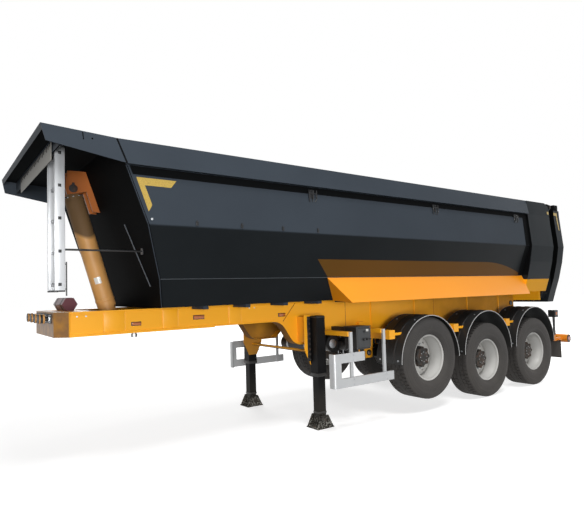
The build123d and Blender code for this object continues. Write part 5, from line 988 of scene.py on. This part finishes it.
rod(studs, (-3.298, -1.238, 2.299), Y * -0.008, 0.0075, 6, 0.001)
pieces(
    "tub",
    (marks, "corner_marks_body", None, marking_tape), (painted_shadow, "painted_shadow_plates", "black_plastic", black_and_painted_shade),
    (seam, "body_seam", "body_dark", grey_paint), (beads, "body_welds", "body_dark", slate_paint),
    (cuts, "canopy_slits", "black_plastic", black_and_painted_shade), (hooks, "rope_hooks", "black_paint", black_paint),
    (tabs, "bend_tabs", "black_paint", black_paint), (studs, "body_studs", "machined_steel", zinc),
)
pieces("tailgate", (gate_marks, "corner_marks_tailgate", None, marking_tape))

# canopy: primed strip with the dark teeth of its welds, and a rib under the sheet
strip, teeth, ribs, line = shapes(4)
block(strip, (-4.06, -0.92, 2.8), (-4.054, 0.7, 2.955), 0.001)
for tooth in range(24):
    y, tall = -0.88 + tooth * 0.066, 0.03 + 0.01 * (tooth * 7 % 3)
    block(teeth, (-4.0635, y - 0.006, 2.955 - tall), (-4.059, y + 0.006, 2.957), 0.001)
block(ribs, (-4.045, -1.15, 2.87), (-4.035, 1.15, 3.0), 0.002)
piece("canopy_strip", strip, "tub", strip_paint)
piece("canopy_strip_teeth", teeth, "tub", black_and_painted_shade)
piece("canopy_ribs", ribs, "tub", canopy_paint)

# front wall: a slanted bead on each side of the cylinder
top, foot = Vector((front_x(2.315) - 0.003, -0.674, 2.315)), Vector((front_x(1.708) - 0.003, -0.79, 1.708))
rod(line, top, foot - top, 0.006, 8)
pieces("tub", (line, "front_wall_beads", "body_dark", grey_paint))

# floor: cross stiffeners under the sheet, and welds in the corners of the load space
ribs, beads = shapes(2)
for x in (-2.6 + 0.5 * rib for rib in range(12)):
    for low, high in ((-0.86, -0.585), (-0.395, 0.395), (0.585, 0.86)):
        block(ribs, (x - 0.03, low, 1.464), (x + 0.03, high, 1.4995), 0.004)
for y in (-0.82, 0.82):
    rod(beads, (-3.03, y, 1.513), X * 6.73, 0.006, 8)
piece("floor_stiffeners", ribs, "tub", slate_paint)
piece("floor_welds", beads, "tub", lining)


# ================================================================ tailgate
latches, seals, pins, lips, shoulders, caps = shapes(6)
for y in (-0.9, 0.9):
    block(latches, (4.062, y - 0.045, 1.33), (4.072, y + 0.045, 1.42), 0.003)
    rod(latches, (4.0655, y - 0.06, 1.372), Y * 0.12, 0.008)
for y in (-0.6, 0.0, 0.6):
    for z in (1.55, 2.15, 2.72):
        rod(latches, (3.748, y, z), X * 0.006, 0.014, 6)
for z in (1.46, 2.8):
    rod(seals, (3.752, -1.1, z), Y * 2.2, 0.005, 10)
rod(pins, (3.795, -1.207, 2.93), Y * -0.007, 0.024, 24, 0.002)
lip_line = [(-0.93, 1.5), (-1.095, 1.77), (-1.165, 1.975), (-1.262, 2.25), (-1.212, 2.88)]
lip = lip_line + [(y + 0.085, z) for y, z in reversed(lip_line)]
# rubber on the rear frame, pressed by the panel
plate(lips, [(3.7205, y, z) for y, z in lip], X * 0.013)
block(shoulders, (3.925, -1.214, 2.88), (4.06, -1.12, 2.985), 0.006)
ear_cap = [(3.7, 2.985), (3.832, 2.968), (3.832, 2.93), (3.7, 2.86)]
plate(caps, [(x, -1.207, z) for x, z in ear_cap], Y * 0.024)
piece("tailgate_latches", latches, "tailgate", hub_iron)
piece("tailgate_seals", seals, "tailgate", rubber)
pieces("tailgate", (shoulders, "tailgate_shoulders", "body_dark", black_and_painted_shade))
pieces(
    "tub",
    (pins, "tailgate_pin_caps", "machined_steel", hub_iron), (lips, "frame_side_lips", "flap_rubber", rubber),
    (caps, "hinge_ear_caps", "body_dark", black_and_painted_shade),
)


# ================================================================ rear of the chassis: lamps, plate, flaps
LAMP_FACE_X, BUMPER_LAMP_X, BUMPER_Z = 3.845, 4.118, 0.665
lens_red, lens_amber, lens_clear, brackets, nuts, number = shapes(6)
for y, lens in ((-1.195, lens_amber), (-1.14, lens_red)):
    rod(lens, (LAMP_FACE_X, y, 1.11), X * 0.009, 0.024, 28, 0.004)
rod(lens_clear, (LAMP_FACE_X, -1.1675, 1.146), X * 0.006, 0.012, 20, 0.002)
block(lens_amber, (3.77, -1.232, 1.085), (3.815, -1.224, 1.135), 0.003)
rod(lens_red, (BUMPER_LAMP_X, -1.2555, BUMPER_Z), Y * -0.0035, 0.034, 28)
rod(brackets, (BUMPER_LAMP_X, -1.254, BUMPER_Z), Y * -0.0035, 0.066, 32, 0.001)
block(brackets, (4.106, -0.17, 0.56), (4.112, -0.13, 0.64), 0.001)      # carriers of the number plate
block(brackets, (3.895, -1.215, 0.628), (3.925, -0.79, 0.652), 0.002)      # clamp bar of the mudflap
for y in (-1.18, -1.09, -1.0, -0.91, -0.82):
    rod(nuts, (3.893, y, 0.64), X * 0.034, 0.006, 6)
block(number, (4.1, -0.26, 0.47), (4.104, 0.26, 0.585), 0.0015)
pieces(
    "chassis",
    (lens_red, "tail_lamp_lenses", None, red_lens), (lens_amber, "indicator_lenses", None, amber_lens),
    (lens_clear, "reversing_lamp_lenses", None, white_lens),
    (brackets, "rear_brackets", "black_paint", black_paint),
    (nuts, "mudflap_bolts", "machined_steel", zinc),
)
piece("blank_number_plate", number, "chassis", plate_white)


# ================================================================ landing legs, side guards, boxes
LEG_X, LEG_OUTER_Y, LEG_INNER_Y = -1.09, -0.846, -0.716
CRANK_Y = -LEG_OUTER_Y + 0.112
caps, bolts, gearbox, crank = shapes(4)
block(caps, (LEG_X - 0.068, LEG_OUTER_Y - 0.003, 1.29), (LEG_X + 0.068, LEG_INNER_Y + 0.003, 1.322), 0.014)
block(caps, (LEG_X - 0.07, LEG_OUTER_Y - 0.005, 0.6), (LEG_X + 0.07, LEG_INNER_Y + 0.005, 0.64), 0.004)
block(caps, (LEG_X - 0.0575, -0.838, 0.165), (LEG_X + 0.0575, -0.724, 0.19), 0.003)
for x in (LEG_X - 0.086, LEG_X + 0.086):        # bolted flanges of the housing, on the bracket
    block(caps, (x - 0.022, LEG_INNER_Y - 0.009, 0.775), (x + 0.022, LEG_INNER_Y - 0.0005, 1.312), 0.002)
    for z in (0.8 + 0.061 * bolt for bolt in range(9)):
        rod(bolts, (x, LEG_INNER_Y - 0.008, z), Y * -0.004, 0.017, 12)
        rod(bolts, (x, LEG_INNER_Y - 0.011, z), Y * -0.015, 0.012, 6, 0.001)
for y in (-0.882, -0.692):                      # ends of the foot's pin
    rod(bolts, (LEG_X, y, 0.095), Y * 0.012, 0.016, 6)
# the hand gear sits on the right-hand leg
block(gearbox, (LEG_X - 0.062, CRANK_Y - 0.108, 1.06), (LEG_X + 0.062, CRANK_Y - 0.05, 1.24), 0.012)
rod(gearbox, (LEG_X, CRANK_Y - 0.052, 1.1), Y * 0.03, 0.024, 20, 0.003)
rod(crank, (LEG_X, CRANK_Y - 0.032, 1.1), Y * 0.04, 0.012, 14)
rod(crank, (LEG_X, CRANK_Y, 1.108), (0.07, 0, -0.308), 0.01, 14)
rod(crank, (LEG_X + 0.07, CRANK_Y, 0.806), Y * 0.088, 0.011, 14)
piece("leg_gearbox", gearbox, "chassis", black_paint)
piece("leg_crank", crank, "chassis", zinc)

ends, guard_bolts, tank_straps = shapes(3)
for x, z in ((-0.726, 0.786), (-0.239, 0.506)):
    block(ends, (x, -1.2015, z), (x + 0.008, -1.1705, z + 0.109), 0.002)
for x, z in ((-0.905, 0.84), (-0.905, 0.56), (-0.36, 0.56)):
    for dz in (-0.028, 0.028):
        rod(guard_bolts, (x, -1.2, z + dz), Y * -0.0065, 0.008, 6)
for x in (-0.74, -0.49):
    ring(tank_straps, -0.22, -0.18, 0.1052, 0.1085, (x, 0, 0.905), Y, 48)
    rod(tank_straps, (x, -0.35, 0.905), Y * -0.008, 0.06, 32, 0.003)
    rod(tank_straps, (x, -0.357, 0.905), Y * -0.015, 0.014, 6)
pieces(
    "chassis",
    (caps, "leg_covers", "black_paint", black_paint), (bolts, "leg_bolts", "machined_steel", hub_iron),
    (ends, "side_guard_ends", "black_plastic", plastic),
    (guard_bolts, "side_guard_bolts", "machined_steel", zinc),
    (tank_straps, "air_tank_straps", "machined_steel", zinc),
)

lid, reflector, knobs = shapes(3)
block(lid, (-0.748, -1.118, 0.925), (-0.532, -1.109, 1.15), 0.004)
block(lid, (-0.76, -1.112, 1.166), (-0.52, -0.879, 1.176), 0.004)
block(reflector, (-0.612, -1.1205, 1.112), (-0.572, -1.1175, 1.14), 0.002)
for x, radius in ((-0.655, 0.016), (-0.6, 0.016), (-0.56, 0.01)):
    rod(knobs, (x, -1.118, 1.02), Y * -0.028, radius, 18, 0.003)
rod(knobs, (-0.64, -1.118, 1.115), Y * -0.012, 0.012)
piece("valve_box_lid", lid, "chassis", lid_plastic)
piece("valve_box_reflector", reflector, "chassis", plate_white)
piece("valve_box_knobs", knobs, "chassis", plastic)


# ================================================================ camera
CAMERA_PLACE = Vector((-4.934, -5.54, 1.633))
CAMERA_HEADING = 0.6331     # radians from +Y towards +X
CAMERA_RISE = 0.0531
CAMERA_ROLL = -0.0287
FOCAL_SHARE = 504.49 / 584  # focal length as a share of the frame's width

level = Vector((cos(CAMERA_HEADING), -sin(CAMERA_HEADING), 0))
forward = Z.cross(level) * cos(CAMERA_RISE) + Z * sin(CAMERA_RISE)
above = level.cross(forward)
right = level * cos(CAMERA_ROLL) + above * sin(CAMERA_ROLL)
up = above * cos(CAMERA_ROLL) - level * sin(CAMERA_ROLL)
camera = bpy.data.objects.new("camera", bpy.data.cameras.new("camera"))
camera.data.sensor_width = 36
camera.data.lens = camera.data.sensor_width * FOCAL_SHARE
camera.data.clip_end = 200
camera.matrix_world = Matrix((right, up, -forward)).transposed().to_4x4()
camera.location = CAMERA_PLACE
bpy.context.scene.collection.objects.link(camera)
bpy.context.scene.camera = camera
bpy.context.scene.view_settings.view_transform = "Standard"


# ================================================================ light and floor
def lamp(name, place, size, power):
    """A square area lamp that looks at the middle of the vehicle."""
    light = bpy.data.objects.new(name, bpy.data.lights.new(name, "AREA"))
    light.data.size = size
    light.data.energy = power
    light.matrix_world = (Vector(place) - Z * 1.2).to_track_quat("Z", "Y").to_matrix().to_4x4()
    light.location = place
    bpy.context.scene.collection.objects.link(light)


def seen_directly(tree):
    """1 for what the camera sees, straight or in a gloss or through glass; 0 for light bounced off."""
    seen = add(tree, "LightPath", "Is Camera Ray")
    for also in ("Is Glossy Ray", "Is Transmission Ray"):
        seen = add(tree, "Math", "Value", {0: seen, 1: add(tree, "LightPath", also)}, operation="MAXIMUM")
    return seen


lamp("key", (-2, -7.5, 17), 5, 1850)
lamp("low_side", (-7, -12, 0.9), 4, 1600)
lamp("far_side", (3, 15, 8), 6, 1500)
lamp("behind", (15, 1, 6), 6, 1800)

world = bpy.data.worlds.new("studio")
bpy.context.scene.world = world
world.use_nodes = True
tree = world.node_tree
background = tree.nodes["Background"]
background.inputs["Color"].default_value = (1, 1, 1, 1)
strength = add(tree, "MapRange", "Result", {"Value": seen_directly(tree), "To Min": 0.22, "To Max": 1.0})
tree.links.new(strength, background.inputs["Strength"])

shape = bmesh.new()
bmesh.ops.create_grid(shape, x_segments=1, y_segments=1, size=60)
floor = bpy.data.objects.new("floor", bpy.data.meshes.new("floor"))
shape.to_mesh(floor.data)
shape.free()
bpy.context.scene.collection.objects.link(floor)
# matt studio floor: soft shadows near the vehicle, plain white farther out
floor_material, tree, place = new_material(
    "pale_studio_floor", Roughness=0.95, Specular_IOR_Level=0.0, Emission_Color=(1, 1, 1, 1),
)
shader = tree.nodes["Principled BSDF"]
shown = seen_directly(tree)
colour = add(tree, "Mix", "Result", {"Factor": shown, "A": "#414140", "B": "#bcbcbc"}, data_type="RGBA")
away = add(tree, "VectorMath", "Value", {0: place}, operation="LENGTH")
fade = {"Value": away, "From Min": 4.5, "From Max": 9.0, "To Min": 0.7, "To Max": 1.0}
glow = add(tree, "Math", "Value", {0: shown, 1: add(tree, "MapRange", "Result", fade)}, operation="MULTIPLY")
tree.links.new(colour, shader.inputs["Base Color"])
tree.links.new(glow, shader.inputs["Emission Strength"])
floor.data.materials.append(floor_material)
